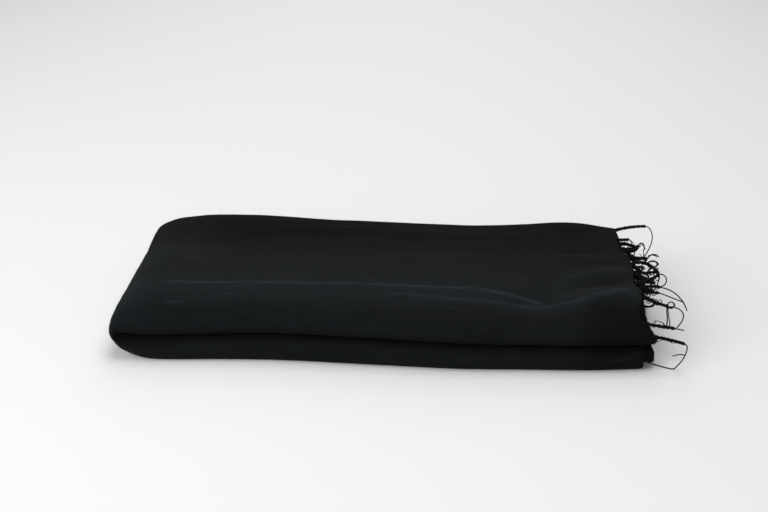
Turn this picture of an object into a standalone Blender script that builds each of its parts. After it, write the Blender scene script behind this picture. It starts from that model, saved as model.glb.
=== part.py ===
"""A fringed wool shawl, folded to a flat bundle that lies on a table.

The shawl is one woven rectangle. It is folded in half across, so that both fringed ends lie
together, then in half and in half again along its length, and last in half across once more.
The bundle has a closed fold on the left, two rolled fronts with a crease between them, and the
fringed ends of the upper half on the right. +X runs to the fringe, +Y away from the viewer.
"""

import math
import random

import bmesh
import bpy
import numpy as np
from mathutils import Vector

# The shawl as it was woven, and how often it is folded each way.
SHAWL_LENGTH = 2.00
SHAWL_WIDTH = 1.00
FOLDS_EACH_WAY = 4
LENGTH = SHAWL_LENGTH / FOLDS_EACH_WAY
DEPTH = SHAWL_WIDTH / FOLDS_EACH_WAY

CLOTH = 0.0026
SEAM = 0.0004
CREASE = 0.0004
LAYER_CLEAR = 0.0010

# The bundle's main lines.
TOP = 0.0565
LEFT = -0.2525
LEFT_SKEW = 0.0040
LEFT_ZONE = 0.09
FOLD_TAKES = 0.0050
RIGHT = LEFT + LENGTH - FOLD_TAKES
BACK_SET = 0.0030
BACK = DEPTH / 2 - BACK_SET
LEFT_ROUND = 0.045
CREASE_END = LEFT + 0.0125

# Crease height, front edge and roll length along the bundle: a row for each section.
SECTIONS = (
    # x, height of the crease, front edge of the lower half
    (-0.2525, 0.0228, -0.1200),
    (-0.2050, 0.0235, -0.1255),
    (-0.1500, 0.0250, -0.1235),
    (-0.0900, 0.0262, -0.1230),
    (-0.0100, 0.0255, -0.1285),
    (0.0500, 0.0248, -0.1330),
    (0.0800, 0.0242, -0.1345),
    (0.1300, 0.0236, -0.1335),
    (0.2000, 0.0236, -0.1320),
    (0.2450, 0.0242, -0.1270),
)
UPPER_ROLL = 0.054
ROLL_AT_NOSE = 0.45
LOWER_ROLL = 0.007
UPPER_SET_BACK = 0.002
CORNER_DEPTH = 0.007
UPPER_CORNER_SHARE = 0.24
LOWER_CORNER_SHARE = 0.42
LOBE_DEPTH = 0.015
LOBE_SHARE = 0.32
TUCK_DEPTH = 0.006
TUCK_SHARE = 0.22
TUCK_PAST = 0.002
INNER_TUCK = 0.86
SELVEDGE_SET_BACK = 0.004
# The tightest bends of the inner layers.
LEAST_CORNER, LEAST_ROLL, LEAST_LOBE, LEAST_TUCK = 0.0015, 0.0035, 0.0030, 0.0015

# Broad swells and troughs of the top: a row for each. They start a little way in from the left.
RELIEF_FROM = 0.020
RELIEF_ZONE = 0.050
RELIEF = (
    # what it is, x, y, half length, half width, turn in degrees, height
    ("swell of the back rim", -0.150, 0.105, 0.085, 0.036, 0, 0.0062),
    ("swell of the right back corner", 0.196, 0.105, 0.040, 0.034, 0, 0.0030),
    ("drop of the right back corner", 0.254, 0.118, 0.030, 0.040, 0, -0.0040),
    ("hollow of the back rim", 0.090, 0.110, 0.060, 0.030, 0, -0.0026),
    ("long trough of the top", -0.030, 0.035, 0.200, 0.030, 0, -0.0022),
    ("dip of the front roll", 0.150, -0.086, 0.034, 0.030, 12, -0.0085),
    ("shoulder over the front corner", 0.222, -0.080, 0.030, 0.022, 14, 0.0044),
    ("trough behind the shoulder", 0.214, -0.052, 0.030, 0.011, 16, -0.0034),
    ("crest behind the trough", 0.222, -0.026, 0.028, 0.012, 12, 0.0026),
)

# The right end: the lower layers of the fringed half reach further out than the top one, and the
# outer layer's edge waves.
END_SHEAR = 0.0085
END_WAVE = (
    # y, how far the top edge reaches out there
    (-0.125, -0.0030),
    (-0.110, -0.0056),
    (-0.096, -0.0046),
    (-0.074, -0.0004),
    (-0.048, -0.0034),
    (-0.017, -0.0002),
    (0.018, 0.0010),
    (0.050, -0.0050),
    (0.085, -0.0038),
    (0.110, -0.0012),
    (0.125, -0.0006),
)
END_ZONE = 0.11
HIDDEN_END = 0.0008

# How many steps each stretch of a section and of the path takes.
ARM_STEPS, CORNER_STEPS, ROLL_STEPS, TOP_STEPS, LOBE_STEPS, TUCK_STEPS = 3, 4, 6, 9, 3, 2
UPPER_STATIONS = (
    0.222, 0.202, 0.184, 0.168, 0.152, 0.136, 0.118, 0.098, 0.074, 0.046, 0.014,
    -0.022, -0.058, -0.092, -0.124, -0.152, -0.176, -0.196, -0.212, -0.224, -0.233,
)
LOWER_STATIONS = (
    -0.233, -0.224, -0.214, -0.205, -0.170, -0.125, -0.080, -0.035, 0.010, 0.050, 0.090, 0.135, 0.190,
)
FAN_STEPS = 6

# The layers whose ends show, as nested folds: how deep each lies under the outer face.
FRINGE_LAYERS = (
    # name, depth under the outer face, width of the fringed strip
    ("outer", 0.0, 0.0036),
    ("second", 0.0044, 0.0034),
    ("third", 0.0086, 0.0032),
    ("inner", 0.0124, 0.0030),
)
END_FOLDS = (
    # name, depth under the outer face, where it starts, how far it reaches
    ("outer", 0.0, 0.2411, 0.0048),
    ("inner", 0.0062, 0.2411, 0.0154),
)
PAIR = 0.0054
LOWER_END = 0.2407
TEETH = 3
TOOTH_SET_BACKS = (0.0035, 0.0060, 0.0045)
TOOTH_ROUND = 0.14
NOTCH = 0.005

STRAND_RADIUS = 0.0013
ROOT_RADIUS = 0.0010
ROOT_INSIDE = 0.0022
ROOT_RING = 0.0005
KNOT = 1.1
TAIL_RADIUS = 0.0004
TAIL_FROM = 0.0012
STRAND_SIDES = 4
STRAND_RINGS = 8
TAIL_RINGS = 11
STRAND_TWIST = 75.0
ROUTE_STEP = 0.0005
FLOOR_CLEAR = 0.0006

# Strands of the outer layer, from the back to the front and then in under it, each with the thin
# thread that runs on from its knot. Angles are in degrees, in plan from +X and above the table.
DRAWN_STRANDS = (
    # layer, share of the way round the fold, heading, turn, pitch, droop, length, then the
    # thread's length, heading, turn, pitch, droop
    ("outer", 0.949, -3, -6, 18, 14, 0.0330, 0.0420, -13, 72, -40, 122),
    ("outer", 0.882, 12, 17, -5, 0, 0.0150, 0.0110, 30, 10, -48, 30),
    ("outer", 0.815, 20, 47, -20, -40, 0.0280, 0.0167, 67, -74, 12, 100),
    ("outer", 0.784, 13, 27, -11, 3, 0.0258, 0.0175, 71, -94, 66, 122),
    ("outer", 0.745, -4, -25, 24, 77, 0.0318, 0.0130, -21, 104, -80, 66),
    ("outer", 0.640, 14, 35, 8, 0, 0.0310, 0.0240, 8, -32, 11, 188),
    ("outer", 0.608, 26, -24, 16, 29, 0.0218, 0.0370, 20, -70, -12, 52),
    ("outer", 0.585, -11, 31, -29, -9, 0.0298, 0.0400, -10, -151, 13, 57),
    ("outer", 0.507, -10, 12, -10, 0, 0.0265, 0.0090, 0, -8, -5, 10),
    ("outer", 0.4795, -5, 5, -6, 12, 0.0313, 0.0600, 0, -45, -88, 94),
    ("outer", 0.200, 4, 8, -22, 50, 0.0160, 0.0, 0, 0, 0, 0),
    ("outer", 0.100, -5, -10, -24, 46, 0.0150, 0.0, 0, 0, 0, 0),
    ("second", 0.731, -36, 70, -3, -8, 0.0270, 0.0, 0, 0, 0, 0),
    ("second", 0.613, 28, -14, -2, 12, 0.0218, 0.0300, -28, -34, -12, -20),
)
THREAD_BEND = 0.004
# Strands of the layers under it: how many each has, and how they leave the end.
SCATTERED_STRANDS = (
    # layer, how many, heading, turn, pitch, droop and length, each from and to
    ("second", 16, (-40, 40), (-90, 90), (-8, 2), (-6, 20), (0.017, 0.025)),
    ("third", 14, (-40, 40), (-90, 90), (-14, -2), (-4, 24), (0.016, 0.024)),
    ("inner", 12, (-34, 34), (-70, 70), (-18, -8), (4, 34), (0.015, 0.021)),
)
# They stand closer towards the top of the fold, a little unevenly.
SHARE_LEAN = 0.6
SHARE_SCATTER = 0.7
# Those of the lower arms and of the back hang down, and are shorter. None leave the rolled front.
HANG_SHARE = 0.46
HANG_BEHIND = 0.080
HANG_PITCH = -16
HANG_DROOP = 40
HANG_LENGTH = 0.75
TOP_FRONT = -0.062
ARM_FRONT = 0.010
STRANDS_APART = 0.0009
TRIES = 14
# Near the end no strand may sink further than this below its root.
END_ZONE_PAST = 0.0150
END_DROP = 0.0042


def smooth(rows, column, x):
    """The value of a table's column at x, on a smooth curve through its rows."""
    xs = [row[0] for row in rows]
    ys = [row[column] for row in rows]
    if x <= xs[0]:
        return ys[0]
    if x >= xs[-1]:
        return ys[-1]
    i = max(k for k in range(len(xs) - 1) if xs[k] <= x)
    slopes = []
    for k in (i, i + 1):
        before, after = max(k - 1, 0), min(k + 1, len(xs) - 1)
        slopes.append((ys[after] - ys[before]) / (xs[after] - xs[before]))
    step = xs[i + 1] - xs[i]
    t = (x - xs[i]) / step
    return (
        (2 * t**3 - 3 * t**2 + 1) * ys[i]
        + (t**3 - 2 * t**2 + t) * step * slopes[0]
        + (3 * t**2 - 2 * t**3) * ys[i + 1]
        + (t**3 - t**2) * step * slopes[1]
    )


def ease(share):
    """0 to 1, with a soft start and end."""
    share = min(1.0, max(0.0, share))
    return share * share * (3 - 2 * share)


def crease_height(x):
    return smooth(SECTIONS, 1, x)


def front_edge(x):
    return smooth(SECTIONS, 2, x)


def left_round(x):
    """How far the rounding of the left fold has come in at x: 1 on the flat, 0 at the nose."""
    past = (LEFT + LEFT_ROUND - x) / LEFT_ROUND
    return math.sqrt(max(0.0, 1 - past * past)) if past > 0 else 1.0


def skewed(x, y):
    """The left fold runs a little to the right towards the back."""
    near_left = ease((LEFT + LEFT_ZONE - x) / LEFT_ZONE)
    return x + LEFT_SKEW * near_left * (y + DEPTH / 2) / DEPTH


def relief(x, y):
    """The height that the broad swells and troughs add to the top at a place."""
    total = 0.0
    for _, at_x, at_y, long, wide, turn, height in RELIEF:
        angle = math.radians(turn)
        along = (x - at_x) * math.cos(angle) + (y - at_y) * math.sin(angle)
        across = (y - at_y) * math.cos(angle) - (x - at_x) * math.sin(angle)
        total += height * math.exp(-((along / long) ** 2) - (across / wide) ** 2)
    return total


def fold_section(depth, thick, front, roll, corner_share):
    """The line that one layer of the folded half follows, seen from the side: (y, height over
    the crease). It runs in along the crease, round the front and back over the top, and lies
    depth inside the outer face."""
    low, high = CREASE + depth, thick - depth
    tall = high - low
    front, back = front + depth, BACK - depth
    corner, roll = max(CORNER_DEPTH - depth, LEAST_CORNER), max(roll - depth, LEAST_ROLL)
    corner_tall, lobe_tall, tuck_tall = corner_share * tall, LOBE_SHARE * tall, TUCK_SHARE * tall
    lobe, tuck = max(LOBE_DEPTH - depth, LEAST_LOBE), max(TUCK_DEPTH - depth, LEAST_TUCK)
    if depth > CLOTH:
        tuck += TUCK_PAST
        tuck_tall *= INNER_TUCK
    edge = back - SELVEDGE_SET_BACK
    points = []
    for k in range(ARM_STEPS):
        points.append((edge + (front + corner - edge) * k / ARM_STEPS, low))
    for k in range(CORNER_STEPS):
        a = math.pi / 2 * k / CORNER_STEPS
        points.append((front + corner * (1 - math.sin(a)), low + corner_tall * (1 - math.cos(a))))
    for k in range(ROLL_STEPS):
        a = math.pi / 2 * k / ROLL_STEPS
        height = low + corner_tall + (tall - corner_tall) * math.sin(a)
        points.append((front + roll * (1 - math.cos(a)), height))
    for k in range(TOP_STEPS):
        points.append((front + roll + (back - lobe - front - roll) * k / TOP_STEPS, high))
    for k in range(LOBE_STEPS):
        a = math.pi / 2 * k / LOBE_STEPS
        points.append((back - lobe * (1 - math.sin(a)), high - lobe_tall * (1 - math.cos(a))))
    for k in range(TUCK_STEPS + 1):
        a = math.pi / 2 * k / TUCK_STEPS
        points.append((back - tuck * (1 - math.cos(a)), high - lobe_tall - tuck_tall * math.sin(a)))
    return points


def upper_station(x, depth):
    """One layer's line in the upper half, at x."""
    crease = crease_height(x)
    share_left = left_round(x)
    thick = (TOP - crease) * share_left
    roll = UPPER_ROLL * (ROLL_AT_NOSE + (1 - ROLL_AT_NOSE) * share_left)
    line = fold_section(depth, thick, front_edge(x) + UPPER_SET_BACK, roll, UPPER_CORNER_SHARE)
    reach = ease((x - RIGHT + END_ZONE) / END_ZONE)
    settle = ease((x - LEFT - RELIEF_FROM) / RELIEF_ZONE)
    points = []
    for y, r in line:
        share = r / thick
        lift = relief(x, y) * share * share * settle
        out = END_SHEAR * (1 - share)
        if depth <= CLOTH:
            out += smooth(END_WAVE, 1, y) * share
        points.append(Vector((skewed(x, y) + reach * out, y, crease + r + lift)))
    return points


def fan_thickness(angle):
    """How thick the bundle is from the crease's end outwards, at an angle round the left fold."""
    crease = crease_height(LEFT)
    up = (TOP - crease) if angle < math.pi / 2 else crease
    out_x, out_z = math.sin(angle), math.cos(angle)
    middle = CREASE_END - (LEFT + LEFT_ROUND)
    # Where the ray from the crease's end meets the ellipse of the fold's outer face.
    a = (out_x / LEFT_ROUND) ** 2 + (out_z / up) ** 2
    b = -2 * middle * out_x / LEFT_ROUND**2
    c = (middle / LEFT_ROUND) ** 2 - 1
    return (-b + math.sqrt(b * b - 4 * a * c)) / (2 * a)


def fan_station(angle, depth):
    """One layer's line round the left fold, at an angle from straight up."""
    turned = ease(angle / math.pi)
    upper_roll = UPPER_ROLL * (ROLL_AT_NOSE + (1 - ROLL_AT_NOSE) * left_round(CREASE_END))
    roll = upper_roll + (LOWER_ROLL - upper_roll) * turned
    corner = UPPER_CORNER_SHARE + (LOWER_CORNER_SHARE - UPPER_CORNER_SHARE) * turned
    front = front_edge(CREASE_END) + UPPER_SET_BACK * (1 - turned)
    line = fold_section(depth, fan_thickness(angle), front, roll, corner)
    crease = crease_height(LEFT)
    points = []
    for y, r in line:
        x = CREASE_END - r * math.sin(angle)
        points.append(Vector((skewed(x, y), y, crease + r * math.cos(angle))))
    return points


def lower_station(x, depth):
    """One layer's line in the lower half, at x. Its outer face lies flat on the table."""
    crease = crease_height(x)
    thick = crease * left_round(x)
    line = fold_section(depth, thick, front_edge(x), LOWER_ROLL, LOWER_CORNER_SHARE)
    return [Vector((skewed(x, y), y, crease - r)) for y, r in line]


def path_stations(depth, upper_end, lower_end):
    """A layer's lines all along the bundle: in from the upper right end, round and out again."""
    lines = [upper_station(upper_end, depth)]
    lines += [upper_station(x, depth) for x in UPPER_STATIONS]
    for k in range(FAN_STEPS + 1):
        lines.append(fan_station(math.pi * k / FAN_STEPS, depth))
    lines += [lower_station(x, depth) for x in LOWER_STATIONS]
    lines.append(lower_station(lower_end, depth))
    return lines


def new_object(name, bm, material, collection):
    """Adds a closed mesh to the scene, with its faces turned outwards."""
    bmesh.ops.recalc_face_normals(bm, faces=bm.faces)
    mesh = bpy.data.meshes.new(name)
    bm.to_mesh(mesh)
    bm.free()
    mesh.shade_smooth()
    mesh.set_sharp_from_angle(angle=math.radians(50))
    mesh.materials.append(material)
    obj = bpy.data.objects.new(name, mesh)
    collection.objects.link(obj)
    return obj


def loft(name, rings, material, collection):
    """A closed solid through rings with the same number of points, capped at both ends."""
    bm = bmesh.new()
    grid = [[bm.verts.new(p) for p in ring] for ring in rings]
    count = len(rings[0])
    for first, second in zip(grid, grid[1:]):
        for i in range(count):
            j = (i + 1) % count
            bm.faces.new((first[i], first[j], second[j], second[i]))
    bm.faces.new(grid[0][::-1])
    bm.faces.new(grid[-1])
    return new_object(name, bm, material, collection)


def wall(name, outer, inner, material, collection):
    """A cloth wall between two grids of points: its outer face, its inner face and its rims."""
    bm = bmesh.new()
    faces = [[[bm.verts.new(p) for p in line] for line in grid] for grid in (outer, inner)]
    out, into = faces
    rows, columns = len(out) - 1, len(out[0]) - 1
    for j in range(rows):
        for i in range(columns):
            bm.faces.new((out[j][i], out[j][i + 1], out[j + 1][i + 1], out[j + 1][i]))
            bm.faces.new((into[j][i], into[j + 1][i], into[j + 1][i + 1], into[j][i + 1]))
    for j in range(rows):
        for i in (0, columns):
            bm.faces.new((out[j][i], out[j + 1][i], into[j + 1][i], into[j][i]))
    for i in range(columns):
        for j in (0, rows):
            bm.faces.new((out[j][i], out[j][i + 1], into[j][i + 1], into[j][i]))
    return new_object(name, bm, material, collection)


def outer_cloth(material, collection):
    """The outermost layer: over the top, round the left fold and along the underside."""
    outer = path_stations(0.0, RIGHT, LOWER_END)
    inner = path_stations(CLOTH, RIGHT, LOWER_END)
    return wall("outer_cloth", outer, inner, material, collection)


def layered_ring(line, outer):
    """A layer's line closed at the back by the edges of the layers that end there. The first edge
    lies just under the rim of the outer cloth, whose line is the second one given."""
    last, first = line[-1], line[0]
    up, rim = last - first, outer[-1] - first
    up.y, rim.y = 0, 0
    top = first + up.normalized() * (rim.dot(up) / up.length - SEAM)
    across = (first - top) / TEETH
    across.y = 0
    ring = list(line) + [Vector((top.x, last.y, top.z))]
    for k, set_back in enumerate(TOOTH_SET_BACKS):
        for share in (k + (0.0 if k == 0 else TOOTH_ROUND), k + 1 - TOOTH_ROUND):
            place = top + across * share
            place.y = BACK - set_back
            ring.append(place)
        if k < TEETH - 1:
            place = top + across * (k + 1)
            place.y = BACK - set_back - NOTCH
            ring.append(place)
    return ring


def hidden_layers(material, collection):
    """The layers inside, as one solid that shows their edges at the back."""
    lines = path_stations(CLOTH + LAYER_CLEAR, RIGHT - HIDDEN_END, LOWER_END - HIDDEN_END)
    rims = path_stations(0.0, RIGHT - HIDDEN_END, LOWER_END - HIDDEN_END)
    rings = [layered_ring(line, rim) for line, rim in zip(lines, rims)]
    return loft("hidden_layers", rings, material, collection)


def swept_edge(name, profile, station, material, collection):
    """A narrow edge that follows a layer's fold: its profile is (x, depth), all round."""
    lines = [station(x, depth) for x, depth in profile]
    rings = [[line[i] for line in lines] for i in range(len(lines[0]))]
    return loft(name, rings, material, collection)


def end_fold(name, depth, start, reach, material, collection):
    """The rounded right end of a pair of layers in the lower half, where the first fold lies."""
    half = PAIR / 2
    profile = [(start, depth), (start, depth + PAIR)]
    for degrees in (-60, -25, 25, 60):
        a = math.radians(degrees)
        profile.append((start + reach - half + half * math.cos(a), depth + half - half * math.sin(a)))
    return swept_edge(f"end_fold_{name}", profile, lower_station, material, collection)


def strand_route(root, heading, turn, pitch, droop, length, thread, thread_heading=0, thread_turn=0,
                 thread_pitch=0, thread_droop=0):
    """The middle line of a strand and its thread, and how far along each point is."""
    place, along = Vector(root), -ROOT_INSIDE
    points = []
    while along <= length + thread + 1e-9:
        share = min(1.0, max(0.0, along) / length)
        plan, up = heading + turn * share, pitch - droop * share
        radius = STRAND_RADIUS
        if along > length:
            past = along - length
            bent = ease(past / THREAD_BEND)
            plan += (thread_heading + thread_turn * past / thread - plan) * bent
            up += (thread_pitch - thread_droop * past / thread - up) * bent
            radius = TAIL_RADIUS
        plan, up = math.radians(plan), math.radians(up)
        aim = Vector((math.cos(up) * math.cos(plan), math.cos(up) * math.sin(plan), math.sin(up)))
        if not points:
            place = place - aim * ROOT_INSIDE
        lowest = radius + FLOOR_CLEAR
        points.append((along, Vector((place.x, place.y, max(place.z, lowest)))))
        place = place + aim * ROUTE_STEP
        place.z = max(place.z, lowest)
        along += ROUTE_STEP
    return points


def strand_mesh(name, route, length, tail, collection):
    """A strand as a four-sided twisted tube, thick as far as its knot and thin after it."""
    stops = [-ROOT_INSIDE, ROOT_RING] + [length * k / STRAND_RINGS for k in range(1, STRAND_RINGS + 1)]
    sizes = [ROOT_RADIUS, ROOT_RADIUS] + [STRAND_RADIUS] * (STRAND_RINGS - 1) + [STRAND_RADIUS * KNOT]
    if tail > 0:
        stops += [length + TAIL_FROM + (tail - TAIL_FROM) * k / TAIL_RINGS for k in range(TAIL_RINGS + 1)]
        sizes += [TAIL_RADIUS] * (TAIL_RINGS + 1)
    last = len(route) - 1
    picks = [min(last, max(0, round((stop + ROOT_INSIDE) / ROUTE_STEP))) for stop in stops]
    bm = bmesh.new()
    rings, side = [], Vector((0, 0, 1))
    for k, (pick, radius) in enumerate(zip(picks, sizes)):
        here = route[pick][1]
        aim = (route[min(last, pick + 2)][1] - route[max(0, pick - 2)][1]).normalized()
        side = (side - aim * side.dot(aim)).normalized()
        other = aim.cross(side)
        twist = math.radians(STRAND_TWIST * k) if k > 1 else 0.0
        ring = []
        for n in range(STRAND_SIDES):
            a = 2 * math.pi * n / STRAND_SIDES + math.pi / STRAND_SIDES + twist
            ring.append(bm.verts.new(here + side * (radius * math.cos(a)) + other * (radius * math.sin(a))))
        rings.append(ring)
    for first, second in zip(rings, rings[1:]):
        for n in range(STRAND_SIDES):
            m = (n + 1) % STRAND_SIDES
            bm.faces.new((first[n], first[m], second[m], second[n]))
    bm.faces.new(rings[0][::-1])
    bm.faces.new(rings[-1])
    bmesh.ops.recalc_face_normals(bm, faces=bm.faces)
    mesh = bpy.data.meshes.new(name)
    bm.to_mesh(mesh)
    bm.free()
    obj = bpy.data.objects.new(name, mesh)
    obj.hide_render = True
    obj.display_type = "WIRE"
    collection.objects.link(obj)
    return obj


def place_on(line, share):
    """The point a share of the way along a line."""
    lengths = [(b - a).length for a, b in zip(line, line[1:])]
    left = share * sum(lengths)
    for a, b, long in zip(line, line[1:], lengths):
        if left <= long:
            return a.lerp(b, left / long)
        left -= long
    return line[-1]


def is_clear(route, root, others):
    """True where a strand keeps clear of the other strands and of the cloth's ends below it."""
    places = route_points(route)
    if np.any((places[:, 0] < RIGHT + END_ZONE_PAST) & (places[:, 2] < root.z - END_DROP)):
        return False
    for other in others:
        apart = np.linalg.norm(places[:, None, :] - other[None, :, :], axis=2)
        if apart.min() < 2 * STRAND_RADIUS + STRANDS_APART:
            return False
    return True


def route_points(route):
    """A route's points without their marks."""
    return np.array([tuple(point) for _, point in route])


def strand_starts(layer):
    """Where a layer's fringed strip starts, and the middle line of its outer edge."""
    _, depth, width = FRINGE_LAYERS[layer]
    start = RIGHT + (SEAM if layer == 0 else SEAM - HIDDEN_END + 0.0002 * layer)
    return start, upper_station(start + width, depth + CLOTH / 2)


def strand_routes():
    """The routes of every layer's strands: the drawn ones first, then the scattered ones, each of
    which takes the first way out that is clear of the strands before it."""
    found = {name: [] for name, _, _ in FRINGE_LAYERS}
    middles = {name: strand_starts(layer)[1] for layer, (name, _, _) in enumerate(FRINGE_LAYERS)}
    others = []
    for name, share, *shape in DRAWN_STRANDS:
        route = strand_route(place_on(middles[name], share), *shape)
        found[name].append((route, shape[4], shape[5]))
        others.append(route_points(route))
    for layer, (name, count, *ranges) in enumerate(SCATTERED_STRANDS, 1):
        dice = random.Random(11 * layer)
        for k in range(count):
            for _ in range(TRIES):
                share = ((k + 0.5 + SHARE_SCATTER * (dice.random() - 0.5)) / count) ** SHARE_LEAN
                heading, turn, pitch, droop, length = (a + (b - a) * dice.random() for a, b in ranges)
                root = place_on(middles[name], share)
                if root.y < (ARM_FRONT if share < HANG_SHARE else TOP_FRONT):
                    continue
                if share < HANG_SHARE or root.y > HANG_BEHIND:
                    pitch, droop, length = HANG_PITCH, HANG_DROOP + droop, HANG_LENGTH * length
                route = strand_route(root, heading, turn, pitch, droop, length, 0.0)
                if is_clear(route, root, others):
                    found[name].append((route, length, 0.0))
                    others.append(route_points(route))
                    break
    return found


def fringe(layer, routes, material, collection, cutters):
    """A layer's fringed end: a narrow woven strip with its twisted strands fused to it."""
    name, depth, width = FRINGE_LAYERS[layer]
    start, _ = strand_starts(layer)
    profile = [(start, depth), (start, depth + CLOTH), (start + width, depth + CLOTH), (start + width, depth)]
    strip = swept_edge(f"fringe_{name}", profile, upper_station, material, collection)
    group = bpy.data.collections.new(f"strands_{name}")
    cutters.children.link(group)
    for k, (route, length, tail) in enumerate(routes):
        strand_mesh(f"strand_{name}_{k:02d}", route, length, tail, group)
    join = strip.modifiers.new("strands", "BOOLEAN")
    join.operation = "UNION"
    join.operand_type = "COLLECTION"
    join.collection = group
    join.solver = "EXACT"
    return strip


def wool(name, colour, roughness):
    """A matt wool material of that colour."""
    material = bpy.data.materials.new(name)
    material.use_nodes = True
    shader = material.node_tree.nodes["Principled BSDF"]
    shader.inputs["Base Color"].default_value = (*colour, 1.0)
    shader.inputs["Roughness"].default_value = roughness
    shader.inputs["Metallic"].default_value = 0.0
    return material


def main():
    for obj in list(bpy.data.objects):
        bpy.data.objects.remove(obj)
    parts = bpy.data.collections.new("wool_shawl")
    cutters = bpy.data.collections.new("strands")
    for collection in (parts, cutters):
        bpy.context.scene.collection.children.link(collection)
    cutters.hide_render = True
    cloth = wool("black_wool_cloth", (0.012, 0.012, 0.014), 0.95)
    yarn = wool("black_wool_yarn", (0.010, 0.010, 0.010), 0.9)
    outer_cloth(cloth, parts)
    hidden_layers(cloth, parts)
    for name, depth, start, reach in END_FOLDS:
        end_fold(name, depth, start, reach, cloth, parts)
    routes = strand_routes()
    for layer, (name, _, _) in enumerate(FRINGE_LAYERS):
        fringe(layer, routes[name], yarn, parts, cutters)


main()
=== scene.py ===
# %% [markdown]
# # A folded wool shawl
#
# The object is one woven rectangle of black brushed wool, 1 m by 2 m, with twisted fringes at its
# two short ends. It is folded in four each way and lies on a white table. The solid model holds its
# true shape and size. This script gives it its looks: one fine sheet of cloth over the folds, the
# edges of the layers inside, the twisted strands with their loose threads, and a brushed nap.

# %% The fixed frame
import math
import random

import bpy
import numpy as np
from mathutils import Matrix, Vector


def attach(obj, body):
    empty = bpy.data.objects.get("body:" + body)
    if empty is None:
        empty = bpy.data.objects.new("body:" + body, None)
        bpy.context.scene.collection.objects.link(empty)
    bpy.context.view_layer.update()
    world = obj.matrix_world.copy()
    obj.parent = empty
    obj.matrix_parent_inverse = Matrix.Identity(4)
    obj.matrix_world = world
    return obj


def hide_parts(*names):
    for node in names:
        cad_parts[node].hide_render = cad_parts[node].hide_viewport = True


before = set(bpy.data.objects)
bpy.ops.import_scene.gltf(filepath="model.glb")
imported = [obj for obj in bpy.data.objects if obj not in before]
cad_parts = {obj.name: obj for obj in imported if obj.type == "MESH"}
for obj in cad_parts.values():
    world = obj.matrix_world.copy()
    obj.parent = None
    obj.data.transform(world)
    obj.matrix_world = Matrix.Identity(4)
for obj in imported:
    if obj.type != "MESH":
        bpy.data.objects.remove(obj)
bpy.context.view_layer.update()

# %% [markdown]
# ## The camera
#
# The camera comes first, since everything after it is judged through it. Its place was worked out
# from the outline in the photo: a 64 mm lens about 1.4 m away, looking down by 21 degrees. The
# bundle is turned by a degree and a half to it, and the picture itself leans by half a degree.

# %% Camera
CAMERA_PLACE = Vector((0.0350, -1.2728, 0.5551))
CAMERA_DOWN = 21.24
CAMERA_TURN = 1.43
CAMERA_LEAN = 0.47
LENS = 64.47

camera = bpy.data.objects.new("camera", bpy.data.cameras.new("camera"))
camera.data.lens = LENS
camera.data.sensor_width = 36
turned = Matrix.Rotation(math.radians(CAMERA_TURN), 4, "Z")
tipped = Matrix.Rotation(math.radians(90 - CAMERA_DOWN), 4, "X")
leaned = Matrix.Rotation(math.radians(CAMERA_LEAN), 4, "Z")
camera.matrix_world = Matrix.Translation(CAMERA_PLACE) @ turned @ tipped @ leaned
bpy.context.scene.collection.objects.link(camera)
bpy.context.scene.camera = camera
print("camera", tuple(round(v, 3) for v in camera.location))

# %% [markdown]
# ## Table and light
#
# The table is a plain white sheet that runs out of sight. Photographs like this one are lit from
# several sides at once, so that black cloth still shows its form. One lamp would leave the rolled
# front black. Four wide soft panels do it here: the window at the left front is the strongest, the
# ceiling lights the top, the back one grazes it and brings out the nap, and the front one fills in.
# A faint even room colour lifts what they miss.

# %% Shader writing
class Value:
    """A shader socket that can be added, multiplied and so on like a number."""

    def __init__(self, tree, socket):
        self.tree = tree
        self.socket = socket

    def math(self, operation, *others):
        """The value after a Math node, with other numbers or values as its next sockets."""
        node = self.tree.nodes.new("ShaderNodeMath")
        node.operation = operation
        for slot, value in zip(node.inputs, (self, *others)):
            join(self.tree, value, slot)
        return Value(self.tree, node.outputs[0])

    def __add__(self, other):
        return self.math("ADD", other)

    __radd__ = __add__

    def __mul__(self, other):
        return self.math("MULTIPLY", other)

    __rmul__ = __mul__

    def __sub__(self, other):
        return self.math("SUBTRACT", other)

    def __rsub__(self, other):
        return (self * -1) + other

    def clipped(self):
        """The value, held between 0 and 1."""
        return self.math("MAXIMUM", 0.0).math("MINIMUM", 1.0)


def join(tree, value, socket):
    """Sets a socket to a number or a colour, or links a value to it."""
    if isinstance(value, Value):
        tree.links.new(value.socket, socket)
    else:
        socket.default_value = value


class Shader:
    """A material's tree, with one method that makes any node."""

    def __init__(self, name):
        self.material = bpy.data.materials.new(name)
        self.material.use_nodes = True
        self.tree = self.material.node_tree
        self.surface = self.tree.nodes["Principled BSDF"]

    def node(self, kind, settings=None, output=0, **sockets):
        """Any node: its type, its settings, then the values or links of its sockets. A socket goes
        by its name, or by i and its number. Several outputs come back as a list."""
        node = self.tree.nodes.new(kind)
        for key, setting in (settings or {}).items():
            setattr(node, key, setting)
        for key, value in sockets.items():
            numbered = key[0] == "i" and key[1:].isdigit()
            slot = int(key[1:]) if numbered else key.replace("_", " ")
            join(self.tree, value, node.inputs[slot])
        if isinstance(output, tuple):
            return [Value(self.tree, node.outputs[k]) for k in output]
        return Value(self.tree, node.outputs[output])

    def set(self, **sockets):
        """Sets or links the sockets of the surface itself."""
        for key, value in sockets.items():
            join(self.tree, value, self.surface.inputs[key.replace("_", " ")])

    def mix(self, share, dark, light):
        """A colour between two others."""
        return self.node(
            "ShaderNodeMix", {"data_type": "RGBA"}, output=2, i0=share, i6=dark, i7=light
        )


# %% Table
TABLE_SIZE = 14.0
TABLE_COLOUR = (0.86, 0.865, 0.875, 1.0)


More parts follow.
